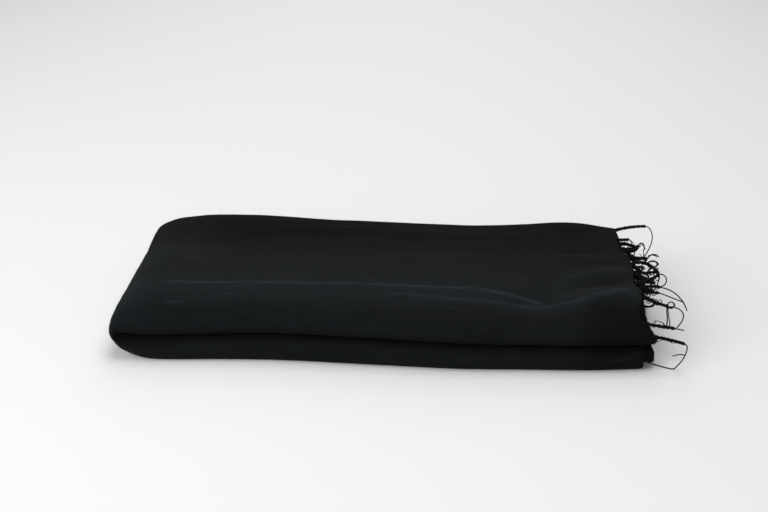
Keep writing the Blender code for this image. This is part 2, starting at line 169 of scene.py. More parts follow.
def flat_sheet(name, size):
    """A square sheet in the plane that the bundle lies on."""
    mesh = bpy.data.meshes.new(name)
    half = size / 2
    corners = [(-half, -half, 0.0), (half, -half, 0.0), (half, half, 0.0), (-half, half, 0.0)]
    mesh.from_pydata(corners, [], [(0, 1, 2, 3)])
    obj = bpy.data.objects.new(name, mesh)
    bpy.context.scene.collection.objects.link(obj)
    return obj


table = flat_sheet("table", TABLE_SIZE)
paint = Shader("white_table")
paint.set(Base_Color=TABLE_COLOUR, Roughness=0.75, Specular_IOR_Level=0.1)
table.data.materials.append(paint.material)
print("table", TABLE_SIZE, "m wide")

# %% Light
ROOM_COLOUR = (0.96, 0.985, 1.0)
ROOM_STRENGTH = 0.18
PANEL_AIM = Vector((0.0, 0.0, 0.0))
PANELS = (
    # name, place, width, power, colour
    ("window", (-1.7, -1.3, 1.3), 1.6, 39.0, (0.97, 0.99, 1.0)),
    ("ceiling", (0.1, 0.3, 2.2), 1.8, 23.0, (1.0, 0.985, 0.965)),
    ("back", (0.0, 2.2, 1.5), 1.8, 18.0, (1.0, 0.99, 0.98)),
    ("front", (0.0, -2.3, 0.7), 1.3, 15.0, (1.0, 0.99, 0.98)),
)

world = bpy.data.worlds.new("room")
world.use_nodes = True
backdrop = world.node_tree.nodes["Background"]
backdrop.inputs["Color"].default_value = (*ROOM_COLOUR, 1.0)
backdrop.inputs["Strength"].default_value = ROOM_STRENGTH
bpy.context.scene.world = world

for name, place, width, power, colour in PANELS:
    lamp = bpy.data.lights.new(name, "AREA")
    lamp.size = width
    lamp.energy = power
    lamp.color = colour
    panel = bpy.data.objects.new(name, lamp)
    panel.location = place
    panel.rotation_mode = "QUATERNION"
    panel.rotation_quaternion = (PANEL_AIM - Vector(place)).to_track_quat("-Z", "Y")
    bpy.context.scene.collection.objects.link(panel)
bpy.context.scene.view_settings.view_transform = "Standard"
print("lights", [row[0] for row in PANELS])

# %% [markdown]
# ## The line of the fold
#
# Cut across, the folded half is a line that runs in along the crease, round the rolled front and
# back over the top, and curls in at the back where the cloth was folded the first time. It could be
# drawn as one curve and swept, but the roll is low at the left and high in the middle. So the line
# is worked out from a few sizes at each place along the bundle, the same sizes that the solids use.

# %% Sizes of the bundle
DEPTH = 0.25
CLOTH = 0.0026
SEAM = 0.0004
CREASE = 0.0004
LAYER_CLEAR = 0.0010
TOP = 0.0565
LEFT = -0.2525
LEFT_SKEW = 0.0040
LEFT_ZONE = 0.09
RIGHT = 0.2425
BACK = DEPTH / 2 - 0.003
LEFT_ROUND = 0.045
CREASE_END = LEFT + 0.0125
SECTIONS = (
    # x, height of the crease, front edge of the lower half
    (-0.2525, 0.0228, -0.1200),
    (-0.2050, 0.0235, -0.1255),
    (-0.1500, 0.0250, -0.1235),
    (-0.0900, 0.0262, -0.1230),
    (-0.0100, 0.0255, -0.1285),
    (0.0500, 0.0248, -0.1330),
    (0.0800, 0.0242, -0.1345),
    (0.1300, 0.0236, -0.1335),
    (0.2000, 0.0236, -0.1320),
    (0.2450, 0.0242, -0.1270),
)
UPPER_ROLL = 0.054
ROLL_AT_NOSE = 0.45
LOWER_ROLL = 0.007
UPPER_SET_BACK = 0.002
CORNER_DEPTH = 0.007
UPPER_CORNER_SHARE = 0.24
LOWER_CORNER_SHARE = 0.42
LOBE_DEPTH = 0.015
LOBE_SHARE = 0.32
TUCK_DEPTH = 0.006
TUCK_SHARE = 0.22
TUCK_PAST = 0.002
INNER_TUCK = 0.86
# The tightest bends of the inner layers.
LEAST_CORNER, LEAST_ROLL, LEAST_LOBE, LEAST_TUCK = 0.0015, 0.0035, 0.0030, 0.0015
SELVEDGE_SET_BACK = 0.004
END_SHEAR = 0.0085
END_WAVE = (
    # y, how far the top edge reaches out there
    (-0.125, -0.0030),
    (-0.110, -0.0056),
    (-0.096, -0.0046),
    (-0.074, -0.0004),
    (-0.048, -0.0034),
    (-0.017, -0.0002),
    (0.018, 0.0010),
    (0.050, -0.0050),
    (0.085, -0.0038),
    (0.110, -0.0012),
    (0.125, -0.0006),
)
END_ZONE = 0.11
# Broad swells and troughs of the top, which start a little way in from the left.
RELIEF_FROM = 0.020
RELIEF_ZONE = 0.050
RELIEF = (
    # what it is, x, y, half length, half width, turn in degrees, height
    ("swell of the back rim", -0.150, 0.105, 0.085, 0.036, 0, 0.0062),
    ("swell of the right back corner", 0.196, 0.105, 0.040, 0.034, 0, 0.0030),
    ("drop of the right back corner", 0.254, 0.118, 0.030, 0.040, 0, -0.0040),
    ("hollow of the back rim", 0.090, 0.110, 0.060, 0.030, 0, -0.0026),
    ("long trough of the top", -0.030, 0.035, 0.200, 0.030, 0, -0.0022),
    ("dip of the front roll", 0.150, -0.086, 0.034, 0.030, 12, -0.0085),
    ("shoulder over the front corner", 0.222, -0.080, 0.030, 0.022, 14, 0.0044),
    ("trough behind the shoulder", 0.214, -0.052, 0.030, 0.011, 16, -0.0034),
    ("crest behind the trough", 0.222, -0.026, 0.028, 0.012, 12, 0.0026),
)


# %% Smooth tables
def smooth(rows, column, x):
    """A table's column at x, on a smooth curve through its rows."""
    xs = np.array([row[0] for row in rows])
    ys = np.array([row[column] for row in rows])
    slopes = np.empty(len(xs))
    slopes[1:-1] = (ys[2:] - ys[:-2]) / (xs[2:] - xs[:-2])
    slopes[0] = (ys[1] - ys[0]) / (xs[1] - xs[0])
    slopes[-1] = (ys[-1] - ys[-2]) / (xs[-1] - xs[-2])
    x = np.clip(x, xs[0], xs[-1])
    i = np.clip(np.searchsorted(xs, x, side="right") - 1, 0, len(xs) - 2)
    step = xs[i + 1] - xs[i]
    t = (x - xs[i]) / step
    start, end = ys[i], ys[i + 1]
    rise = (t**3 - 2 * t**2 + t) * slopes[i] + (t**3 - t**2) * slopes[i + 1]
    return start + (end - start) * (3 * t**2 - 2 * t**3) + rise * step


def ease(share):
    """0 to 1, with a soft start and end."""
    share = np.clip(share, 0.0, 1.0)
    return share * share * (3 - 2 * share)


def crease_height(x):
    return float(smooth(SECTIONS, 1, x))


def front_edge(x):
    return float(smooth(SECTIONS, 2, x))


def left_round(x):
    """How far the rounding of the left fold has come in at x: 1 on the flat, 0 at the nose."""
    past = max(0.0, (LEFT + LEFT_ROUND - x) / LEFT_ROUND)
    return math.sqrt(max(0.0, 1 - past * past))


def skewed(x, y):
    """The left fold runs a little to the right towards the back."""
    near_left = ease((LEFT + LEFT_ZONE - x) / LEFT_ZONE)
    return x + LEFT_SKEW * near_left * (y + DEPTH / 2) / DEPTH


def relief(x, y):
    """The height that the broad swells and troughs add to the top."""
    total = 0.0
    for _, at_x, at_y, long, wide, turn, height in RELIEF:
        angle = math.radians(turn)
        along = (x - at_x) * math.cos(angle) + (y - at_y) * math.sin(angle)
        across = (y - at_y) * math.cos(angle) - (x - at_x) * math.sin(angle)
        total = total + height * np.exp(-((along / long) ** 2) - (across / wide) ** 2)
    return total


# %% One layer's line
class Steps:
    """How many steps each stretch of a fold's line takes, and how much those of the top crowd
    towards its front."""

    def __init__(self, arm, corner, roll, top, lobe, tuck, crowd=0.0):
        self.arm = arm
        self.corner = corner
        self.roll = roll
        self.top = top
        self.lobe = lobe
        self.tuck = tuck
        self.crowd = crowd


FINE = Steps(arm=14, corner=8, roll=40, top=66, lobe=10, tuck=6, crowd=0.45)


def fold_section(depth, thick, front, roll, corner_share, steps=FINE):
    """The line of a layer that lies depth inside the outer face: its places y, and its heights over
    the crease."""
    low, high = CREASE + depth, thick - depth
    tall = high - low
    front, back = front + depth, BACK - depth
    corner, roll = max(CORNER_DEPTH - depth, LEAST_CORNER), max(roll - depth, LEAST_ROLL)
    corner_tall, lobe_tall, tuck_tall = corner_share * tall, LOBE_SHARE * tall, TUCK_SHARE * tall
    lobe, tuck = max(LOBE_DEPTH - depth, LEAST_LOBE), max(TUCK_DEPTH - depth, LEAST_TUCK)
    if depth > CLOTH:
        tuck += TUCK_PAST
        tuck_tall *= INNER_TUCK
    arm = np.arange(steps.arm) / steps.arm
    turn = math.pi / 2 * np.arange(steps.corner) / steps.corner
    rise = math.pi / 2 * np.arange(steps.roll) / steps.roll
    top = np.arange(steps.top) / steps.top
    top = top * (1 - steps.crowd * (1 - top))
    over = math.pi / 2 * np.arange(steps.lobe) / steps.lobe
    under = math.pi / 2 * np.arange(steps.tuck + 1) / steps.tuck
    edge = back - SELVEDGE_SET_BACK
    y = np.concatenate([
        edge + (front + corner - edge) * arm,
        front + corner * (1 - np.sin(turn)),
        front + roll * (1 - np.cos(rise)),
        front + roll + (back - lobe - front - roll) * top,
        back - lobe * (1 - np.sin(over)),
        back - tuck * (1 - np.cos(under)),
    ])
    r = np.concatenate([
        np.full(steps.arm, low),
        low + corner_tall * (1 - np.cos(turn)),
        low + corner_tall + (tall - corner_tall) * np.sin(rise),
        np.full(steps.top, high),
        high - lobe_tall * (1 - np.cos(over)),
        high - lobe_tall - tuck_tall * np.sin(under),
    ])
    return y, r


# %% Places along the bundle
def upper_roll(x):
    """How long the upper roll is at x. It is shorter at the nose of the left fold."""
    return UPPER_ROLL * (ROLL_AT_NOSE + (1 - ROLL_AT_NOSE) * left_round(x))


def upper_station(x, depth, steps=FINE):
    """A layer's line in the upper half, at x."""
    crease = crease_height(x)
    thick = (TOP - crease) * left_round(x)
    front = front_edge(x) + UPPER_SET_BACK
    y, r = fold_section(depth, thick, front, upper_roll(x), UPPER_CORNER_SHARE, steps)
    reach = ease((x - RIGHT + END_ZONE) / END_ZONE)
    settle = ease((x - LEFT - RELIEF_FROM) / RELIEF_ZONE)
    share = r / thick
    lift = relief(x, y) * share**2 * settle
    out = END_SHEAR * (1 - share)
    if depth <= CLOTH:
        out = out + smooth(END_WAVE, 1, y) * share
    return np.stack([skewed(x, y) + reach * out, y, crease + r + lift], axis=1)


def fan_thickness(angle):
    """How thick the bundle is from the crease's end outwards, at an angle round the left fold."""
    crease = crease_height(LEFT)
    up = (TOP - crease) if angle < math.pi / 2 else crease
    out_x, out_z = math.sin(angle), math.cos(angle)
    middle = CREASE_END - (LEFT + LEFT_ROUND)
    a = (out_x / LEFT_ROUND) ** 2 + (out_z / up) ** 2
    b = -2 * middle * out_x / LEFT_ROUND**2
    c = (middle / LEFT_ROUND) ** 2 - 1
    return (-b + math.sqrt(b * b - 4 * a * c)) / (2 * a)


def fan_station(angle, depth, steps=FINE):
    """A layer's line round the left fold, at an angle from straight up."""
    turned = float(ease(angle / math.pi))
    roll = upper_roll(CREASE_END) + (LOWER_ROLL - upper_roll(CREASE_END)) * turned
    corner = UPPER_CORNER_SHARE + (LOWER_CORNER_SHARE - UPPER_CORNER_SHARE) * turned
    front = front_edge(CREASE_END) + UPPER_SET_BACK * (1 - turned)
    y, r = fold_section(depth, fan_thickness(angle), front, roll, corner, steps)
    x = CREASE_END - r * math.sin(angle)
    return np.stack([skewed(x, y), y, crease_height(LEFT) + r * math.cos(angle)], axis=1)


def lower_station(x, depth, steps=FINE):
    """A layer's line in the lower half, at x. Its outer face lies flat on the table."""
    crease = crease_height(x)
    thick = crease * left_round(x)
    y, r = fold_section(depth, thick, front_edge(x), LOWER_ROLL, LOWER_CORNER_SHARE, steps)
    return np.stack([skewed(x, y), y, crease - r], axis=1)


print("a line has", len(upper_station(0.0, 0.0)), "places")

# %% [markdown]
# ## The outer cloth
#
# On the real shawl the outermost layer is one stretch of cloth: over the top, round the left fold,
# under the bundle and round its plain right end. A subdivided box would give a soft block, not
# cloth with an edge. So the fold's line is laid at close places all along that path, once for the
# outer face and once for the inner one, and the two are joined round their rims.

# %% Path of the outer cloth
FRINGE_WIDTH = 0.0036
LOWER_END = 0.2407
PAIR = 0.0054
END_START = 0.2411
END_REACH = {"outer": 0.0048, "inner": 0.0154}
END_OVERLAP = 0.0006
HIDDEN_END = 0.0008
UPPER_STEP = 0.0030
LOWER_STEP = 0.0060
PAST_CREASE = 0.002
CLOSE_TO = -0.190
WIDE_FROM = -0.185
FAN_STEPS = 28
TURN_STEPS = 8


def straight(start, end, step):
    """Places from start to end, about a step apart."""
    return np.linspace(start, end, max(2, round(abs(end - start) / step) + 1))


def layer_path(depth, upper_end, lower_end, steps=FINE):
    """A layer's lines from the fringed end, round the left fold, to the lower right end, with the
    share of the way round the left fold: 0 above, 1 below."""
    crease_end = CREASE_END + PAST_CREASE
    stops = [(upper_station, x, 0.0) for x in straight(upper_end, crease_end, UPPER_STEP)]
    for k in range(FAN_STEPS + 1):
        stops.append((fan_station, math.pi * k / FAN_STEPS, k / FAN_STEPS))
    closed = straight(crease_end, CLOSE_TO, UPPER_STEP)
    wide = straight(WIDE_FROM, lower_end, LOWER_STEP)
    for x in (*closed, *wide):
        stops.append((lower_station, x, 1.0))
    lines = [station(place, depth, steps) for station, place, _ in stops]
    return lines, [side for _, _, side in stops]


def end_turn(name, depth, radius, steps=FINE):
    """Lines round the folded right end of a pair of layers in the lower half."""
    middle = END_START + END_REACH[name] - PAIR / 2
    lines = []
    for k in range(TURN_STEPS + 1):
        a = math.pi * k / TURN_STEPS
        x = middle + radius * math.sin(a)
        lines.append(lower_station(x, depth + PAIR / 2 - radius * math.cos(a), steps))
    return lines


outer_lines, sides = layer_path(0.0, RIGHT + SEAM + FRINGE_WIDTH, LOWER_END)
inner_lines, _ = layer_path(CLOTH, RIGHT + SEAM + FRINGE_WIDTH, LOWER_END)
outer_lines += end_turn("outer", 0.0, PAIR / 2)
inner_lines += end_turn("outer", 0.0, PAIR / 2 - CLOTH)
outer_lines.append(lower_station(END_START - END_OVERLAP, PAIR))
inner_lines.append(lower_station(END_START - END_OVERLAP, PAIR - CLOTH))
outer_grid, inner_grid = np.array(outer_lines), np.array(inner_lines)
sides = np.array(sides + [1.0] * (len(outer_lines) - len(sides)))
print("outer cloth", outer_grid.shape[:2], "places along and round")


# %% [markdown]
# ## Creases
#
# The photo shows one long thin ridge along the top, a second in front of it, and stronger ones near
# the fringed corner, where the roll dips and rises. A cloth simulation would put its own folds
# there, so each is drawn as a line in plan with a height and a width to each side. Each also paints
# a highlight along its ridge, or painted shade along its trough, and says how much. The hidden
# sides get similar ones of their own, and a slow uneven ripple in the cloth's own directions keeps
# the rest from being flat.

# %% Crease tables
CREASES = (
    # what it is, height, width behind, width in front, painted highlight (painted shade below 0),
    # its line in plan
    ("long ridge", 0.0014, 0.0026, 0.0034, 2.70,
     ((-0.208, -0.0690), (-0.141, -0.0675), (-0.084, -0.0665), (-0.027, -0.0655), (0.052, -0.0700),
      (0.087, -0.0710), (0.111, -0.0750), (0.133, -0.0780), (0.149, -0.0840), (0.162, -0.0930))),
    ("second ridge", 0.0011, 0.0028, 0.0042, 1.50,
     ((0.000, -0.0865), (0.030, -0.0885), (0.065, -0.0940), (0.100, -0.0970), (0.122, -0.0970),
      (0.136, -0.0995), (0.152, -0.0965))),
    ("corner ridge", 0.0022, 0.0036, 0.0058, 1.90,
     ((0.124, -0.0990), (0.138, -0.0995), (0.152, -0.0980), (0.168, -0.0950), (0.184, -0.0930),
      (0.203, -0.0870), (0.217, -0.0825), (0.232, -0.0790), (0.242, -0.0830), (0.247, -0.0940))),
    ("back corner ridge", 0.0014, 0.0046, 0.0064, 0.90,
     ((0.168, -0.0500), (0.186, -0.0400), (0.206, -0.0310), (0.225, -0.0260), (0.244, -0.0245),
      (0.251, -0.0300))),
    ("left streak", 0.0006, 0.0022, 0.0024, 1.20,
     ((-0.201, -0.008), (-0.186, -0.009), (-0.172, -0.008))),
    ("front left streak", 0.0007, 0.0020, 0.0024, 1.30,
     ((-0.203, -0.1035), (-0.190, -0.1040), (-0.176, -0.1030))),
    ("roll streak", 0.0006, 0.0018, 0.0022, 0.90,
     ((-0.150, -0.089), (-0.140, -0.090), (-0.128, -0.089))),
    ("middle streak", 0.0005, 0.0022, 0.0024, 0.40,
     ((0.030, -0.108), (0.060, -0.109), (0.092, -0.112))),
    ("back trough", -0.0008, 0.0060, 0.0070, 0.0,
     ((-0.150, 0.058), (-0.060, 0.066), (0.060, 0.060), (0.150, 0.066))),
    ("back ridge", 0.0006, 0.0050, 0.0050, 0.05,
     ((-0.120, 0.082), (-0.020, 0.086), (0.080, 0.080))),
    ("corner trough", -0.0006, 0.0070, 0.0060, -0.70,
     ((0.176, -0.066), (0.208, -0.056), (0.248, -0.050))),
    ("back corner trough", -0.0005, 0.0090, 0.0080, -0.40,
     ((0.172, -0.008), (0.208, -0.004), (0.249, 0.000))),
    ("right trough", -0.0010, 0.0050, 0.0060, 0.0,
     ((0.160, 0.020), (0.190, 0.030), (0.235, 0.026))),
)
# On the rolled front of the lower half: the same, but its line is given as x and height.
FRONT_CREASES = (
    ("end crease", 0.0012, 0.0016, 0.0022, 0.90,
     ((0.206, 0.0105), (0.223, 0.0136), (0.235, 0.0160), (0.246, 0.0205))),
    ("front trough", -0.0007, 0.0026, 0.0030, 0.0,
     ((-0.120, 0.013), (-0.060, 0.012), (0.010, 0.014))),
    ("front streak", 0.0005, 0.0018, 0.0024, 0.15,
     ((0.040, 0.010), (0.090, 0.011), (0.130, 0.010))),
)
FOLD_CREASES = (
    # over the left fold: y, height, width, lean in metres from top to bottom
    (-0.093, 0.0003, 0.0044, 0.006),
    (-0.041, -0.0005, 0.0060, -0.010),
    (0.012, 0.0005, 0.0050, 0.008),
    (0.058, -0.0005, 0.0060, 0.004),
    (0.089, 0.0005, 0.0044, -0.006),
)
RIPPLE_HEIGHT = 0.00013
RIPPLES = 26
RIPPLE_WAVES = (0.014, 0.075)
RIPPLE_LEAN = 0.30
CREASE_FADE = 0.018
CREASE_FADE_SHARE = 0.35

# %% Painted light and shade of the cloth
TOP_PAINTED_LIGHT = (
    # y, how much painted light the top gets there: above 1 lighter, below 1 painted shade
    (-0.130, 1.55),
    (-0.114, 1.58),
    (-0.104, 1.78),
    (-0.096, 2.00),
    (-0.084, 2.20),
    (-0.070, 2.20),
    (-0.050, 2.00),
    (-0.030, 1.75),
    (-0.010, 1.60),
    (0.020, 1.28),
    (0.050, 0.86),
    (0.090, 0.62),
    (0.125, 0.95),
)
END_PAINTED_LIGHT = (
    # where, its share of painted light (below 1 it is painted shade), then where it starts and over
    # what length: in x and in y
    ("left end, more so at the back", 1.62, -0.140, -0.06, -0.040, 0.08),
    ("right end of the rolled front", 0.58, 0.170, 0.04, -0.084, -0.02),
    ("right end of the top", 0.88, 0.060, 0.08, -0.060, 0.04),
)
# Painted light on the lower half and round the left fold.
UNDER_PAINTED_LIGHT = 1.50
# Painted shade darkens the crease, more widely below it and at the hollow of its left end.
CREASE_PAINTED_SHADE = 0.40
CREASE_SHADE_WIDTHS = (0.0056, 0.0046)
CREASE_FRONT = -0.060
CREASE_FRONT_ZONE = 0.03
HOLLOW_X = -0.175
HOLLOW_ZONE = 0.04
HOLLOW_WIDTH = 0.0052
# The painted highlights on the ridges are uneven along their length.
HIGHLIGHT_UNEVEN = 0.16
HIGHLIGHT_UNEVEN_WAVES = (61.0, 173.0)
HIGHLIGHT_UNEVEN_PHASE = 9000


# %% Crease fields
def drawn(points, count=60):
    """A smooth line through a few points, as close places on it."""
    rows = [(k, x, y) for k, (x, y) in enumerate(points)]
    t = np.linspace(0, len(points) - 1, count)
    return np.stack([smooth(rows, 1, t), smooth(rows, 2, t)], axis=1)


def crease_field(x, y, height, behind, before, points):
    """The lift that one crease gives: strongest along its line, with soft ends."""
    line = drawn(points)
    start, end = line[0, 0], line[-1, 0]
    slope = np.interp(x, line[:, 0], np.gradient(line[:, 1], line[:, 0]))
    away = (y - np.interp(x, line[:, 0], line[:, 1])) / np.sqrt(1 + slope**2)
    side = np.where(away > 0, behind, before)
    fade_length = min(CREASE_FADE, CREASE_FADE_SHARE * (end - start))
    fade = ease(np.minimum(x - start, end - x) / fade_length)
    return height * fade * np.exp(-((away / side) ** 2))


def lengths_along(grid, axis):
    """How far along the cloth each place of a grid is, in metres."""
    hops = np.linalg.norm(np.diff(grid, axis=axis), axis=2)
    start = np.zeros_like(np.take(hops, [0], axis=axis))
    return np.concatenate([start, np.cumsum(hops, axis=axis)], axis=axis)


def ripple(u, v, seed):
    """A slow uneven ripple whose crests run mostly along the bundle."""
    dice = np.random.default_rng(seed)
    total = np.zeros_like(u)
    for _ in range(RIPPLES):
        wave = dice.uniform(*RIPPLE_WAVES)
        lean = dice.normal(0.0, RIPPLE_LEAN)
        across = (u * math.cos(lean) + v * math.sin(lean)) / wave
        total += np.sin(2 * math.pi * across + dice.uniform(0, 6.3))
    return total / math.sqrt(RIPPLES / 2)


def outward(grid):
    """The direction out of the cloth at each place of a grid."""
    across = np.gradient(grid, axis=1)
    along = np.gradient(grid, axis=0)
    normal = np.cross(across, along)
    return normal / np.maximum(np.linalg.norm(normal, axis=2, keepdims=True), 1e-12)


# %% Creases, painted light and painted shade on the outer cloth
normals = outward(outer_grid)
x, y, z = (outer_grid[..., k] for k in range(3))
round_u = lengths_along(outer_grid, 1)
columns = outer_grid.shape[1]
along_v = np.repeat(lengths_along(outer_grid, 0)[:, columns // 2, None], columns, axis=1)
facing_up = ease(normals[..., 2] / 0.5) * (sides[:, None] < 0.4)
lift = np.zeros_like(x)
below = ease((sides[:, None] - 0.25) / 0.5)
# Painted light and shade: lighter and darker bands across the top, more light below and round the
# left fold.
tone = smooth(TOP_PAINTED_LIGHT, 1, y) * (1 - below) + UNDER_PAINTED_LIGHT * below
# Painted light at the left end, and painted shade at the right end of the top and of its rolled
# front.
for _, share, from_x, over_x, from_y, over_y in END_PAINTED_LIGHT:
    tone *= 1 + (share - 1) * ease((x - from_x) / over_x) * ease((y - from_y) / over_y)
# Each crease lifts the cloth and paints a highlight along its ridge, or painted shade where its
# share is below 0.
for name, height, behind, before, painted_light, points in CREASES:
    field = crease_field(x, y, height, behind, before, points) * facing_up
    lift += field
    uneven_highlight = np.sin(x * HIGHLIGHT_UNEVEN_WAVES[0] + height * HIGHLIGHT_UNEVEN_PHASE) + np.sin(x * HIGHLIGHT_UNEVEN_WAVES[1] + 1.0)
    tone += painted_light * (1 + HIGHLIGHT_UNEVEN * uneven_highlight) * field / height
facing_front = ease((-normals[..., 1] - 0.3) / 0.4) * (sides[:, None] > 0.6)
# The creases of the rolled front paint their highlights the same way.
for name, height, behind, before, painted_light, points in FRONT_CREASES:
    field = crease_field(x, z, height, behind, before, points) * facing_front
    lift += field
    tone += painted_light * field / height
round_left = np.sin(math.pi * np.clip(sides, 0, 1))[:, None]
for at_y, height, width, lean in FOLD_CREASES:
    middle = at_y + lean * (sides[:, None] - 0.5)
    lift += height * round_left * np.exp(-(((y - middle) / width) ** 2))
off_table = 1 - ease((0.004 - z) / 0.004) * (normals[..., 2] < 0)
# Painted shade along the crease between the two halves.
over_crease = z - np.array([crease_height(v) for v in x[:, columns // 3]])[:, None]
in_front = ease((CREASE_FRONT - y) / CREASE_FRONT_ZONE)
hollow = HOLLOW_WIDTH * ease((HOLLOW_X - x) / HOLLOW_ZONE)
crease_shade_width = np.where(over_crease > 0, CREASE_SHADE_WIDTHS[0], CREASE_SHADE_WIDTHS[1] + hollow)
tone *= 1 - (1 - CREASE_PAINTED_SHADE) * in_front * np.exp(-((over_crease / crease_shade_width) ** 2))
lift += RIPPLE_HEIGHT * ripple(round_u, along_v, 7) * off_table
shift = normals * lift[..., None]
outer_grid = outer_grid + shift
inner_grid = inner_grid + shift
print("creases lift the cloth by", *(round(v * 1000, 2) for v in (lift.min(), lift.max())), "mm")


# %% [markdown]
# ## Corners
#
# No layer ends in a straight cut. At the right the front of the fringed end is drawn in, and the
# flap under it stands out; at the left the lower half draws in under the nose of the fold, and the
# upper one is full at the back. All are small moves of a few millimetres, and everything there
# shares them, so one function moves the points of every piece just before its mesh is made.

# %% Corner moves
END_TUCK = (
    # share of the upper half's height, how far the front of its end stands out there
    (0.00, -0.0010),
    (0.09, 0.0012),
    (0.18, 0.0030),
    (0.29, 0.0014),
    (0.43, -0.0018),
    (0.55, -0.0036),
    (0.66, -0.0046),
    (0.83, -0.0034),
    (1.00, 0.0),
)
TUCK_FROM = 0.208
TUCK_FADE = (0.252, 0.270)
TUCK_FRONT = -0.090
TUCK_FRONT_ZONE = 0.018
TUCK_BELOW = 0.10
LEFT_CORNERS = (
    # which, how far x moves, then where it starts and over what length: in x, y and z
    ("lower one in front", 0.0042, (-0.190, -0.050), (-0.070, -0.050), (0.0268, -0.016)),
    ("upper one at the back", -0.0050, (-0.180, -0.035), (0.040, 0.050), (0.034, 0.014)),
)


def shaped(points):
    """Points with the front of the fringed end drawn in, the flap under it left standing out, the
    lower left corner drawn in under the nose of the fold, and the upper one at the back full."""
    points = np.array(points, dtype=float)
    x, y, z = (points[..., k] for k in range(3))
    share = (z - crease_height(RIGHT)) / (TOP - crease_height(RIGHT))
    fade_start, fade_end = TUCK_FADE
    near = ease((x - TUCK_FROM) / (RIGHT - TUCK_FROM))
    near = near * ease((fade_end - x) / (fade_end - fade_start))
    front = ease((TUCK_FRONT - y) / TUCK_FRONT_ZONE) * ease((share + TUCK_BELOW) / TUCK_BELOW)
    moved = smooth(END_TUCK, 1, share) * near * front
    for _, move, *zones in LEFT_CORNERS:
        for place, (start, length) in zip((x, y, z), zones):
            move = move * ease((place - start) / length)
        moved = moved + move
    points[..., 0] = x + moved
    return points


# %% A sheet with two faces
def make_mesh(name, points, faces, uv, tone=None):
    """A smooth mesh object, with the cloth's own measure as its UV map, and its tone at each point:
    the painted light and shade that scales its colour."""
    mesh = bpy.data.meshes.new(name)
    points = shaped(points)
    mesh.from_pydata(points.tolist(), [], faces)
    mesh.shade_smooth()
    layer = mesh.uv_layers.new(name="cloth")
    index = np.empty(len(mesh.loops), dtype=np.int32)
    mesh.loops.foreach_get("vertex_index", index)
    layer.data.foreach_set("uv", uv[index].astype(np.float32).ravel())
    shade = mesh.attributes.new("tone", "FLOAT", "POINT")
    shade.data.foreach_set("value", np.ones(len(points)) if tone is None else tone)
    obj = bpy.data.objects.new(name, mesh)
    bpy.context.scene.collection.objects.link(obj)
    return obj


def tube_faces(rows, ring):
    """Quads between rings of points, each ring closed."""
    a = np.arange(rows - 1)[:, None] * ring + np.arange(ring)[None, :]
    b = np.arange(rows - 1)[:, None] * ring + (np.arange(ring)[None, :] + 1) % ring
    return np.stack([a, b, b + ring, a + ring], axis=2).reshape(-1, 4)


RIM = 0.0008
RIM_ROUND = 0.28


def sheet_mesh(name, outer, inner, u, v, tone=None):
    """A cloth sheet from its outer and inner faces, with softly rounded rims all round."""
    near = (outer[:, :1] + inner[:, :1]) / 2
    far = (outer[:, -1:] + inner[:, -1:]) / 2
    near_out = outer[:, :1] - outer[:, 1:2]
    far_out = outer[:, -1:] - outer[:, -2:-1]
    near = near + RIM * near_out / np.linalg.norm(near_out, axis=2, keepdims=True)
    far = far + RIM * far_out / np.linalg.norm(far_out, axis=2, keepdims=True)
    rings = np.concatenate([outer, far, inner[:, ::-1], near], axis=1)
    ends = []
    for k, m in ((0, 1), (-1, -2)):
        out = outer[k] - outer[m]
        out = RIM * out / np.linalg.norm(out, axis=1, keepdims=True)
        a = outer[k] * (1 - RIM_ROUND) + inner[k] * RIM_ROUND + out
        b = outer[k] * RIM_ROUND + inner[k] * (1 - RIM_ROUND) + out
        ends.append(np.concatenate([a, (a[-1:] + b[-1:]) / 2, b[::-1], (a[:1] + b[:1]) / 2]))
    rings = np.concatenate([ends[0][None], rings, ends[1][None]])
    rows, ring = rings.shape[:2]
    faces = tube_faces(rows, ring).tolist()
    count = outer.shape[1]
    for base in (0, (rows - 1) * ring):
        pairs = [(base + k, base + 2 * count - k) for k in range(count)]
        for (a, b), (c, d) in zip(pairs, pairs[1:]):
            faces.append((a, b, d, c) if base else (a, c, d, b))
        faces.append((base + 2 * count + 1, pairs[0][1], pairs[0][0])[:: 1 if base else -1])
        faces.append((base + count, pairs[-1][0], pairs[-1][1])[:: 1 if base else -1])
    u = np.concatenate([u, u[:, -1:], u[:, ::-1], u[:, :1]], axis=1)
    v = np.concatenate([v, v[:, -1:], v[:, ::-1], v[:, :1]], axis=1)
    u, v = np.concatenate([u[:1], u, u[-1:]]), np.concatenate([v[:1], v, v[-1:]])
    uv = np.stack([u.ravel(), v.ravel()], axis=1)
    if tone is not None:
        tone = np.concatenate([tone, tone[:, -1:], tone[:, ::-1], tone[:, :1]], axis=1)
        tone = np.concatenate([tone[:1], tone, tone[-1:]]).ravel()
    return make_mesh(name, rings.reshape(-1, 3), faces, uv, tone)


# %% The outer cloth itself
cloth = sheet_mesh("shawl_cloth", outer_grid, inner_grid, round_u, along_v, tone)
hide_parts("outer_cloth", "end_fold_outer")
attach(cloth, "root")
print("shawl_cloth", len(cloth.data.polygons), "faces")

# %% [markdown]
# ## The layers inside
#
# At the back the edges of the layers show: the outer cloth curls in, and under it lie the woven
# edges of three more layers in each half. They could be sixteen separate sheets, but nearly all of
# that would be hidden. So they are one solid that fills the bundle, with each edge rounded and
# set back a little differently along its length.

# %% Layered edges
COARSE = Steps(arm=6, corner=5, roll=10, top=16, lobe=7, tuck=4)
EDGE_LAYERS = (
    # from the outside in: set back, long and short wave along the edge in radians to the metre
    (0.0035, 31, 83),
    (0.0060, 40, 72),
    (0.0045, 49, 61),
)
EDGE_STEPS = 6
EDGE_HALF = 0.42
EDGE_SWAY = 0.0012
EDGE_PHASE = 2.1
SHORT_WAVE_SHARE = 0.6
NOTCH = 0.005


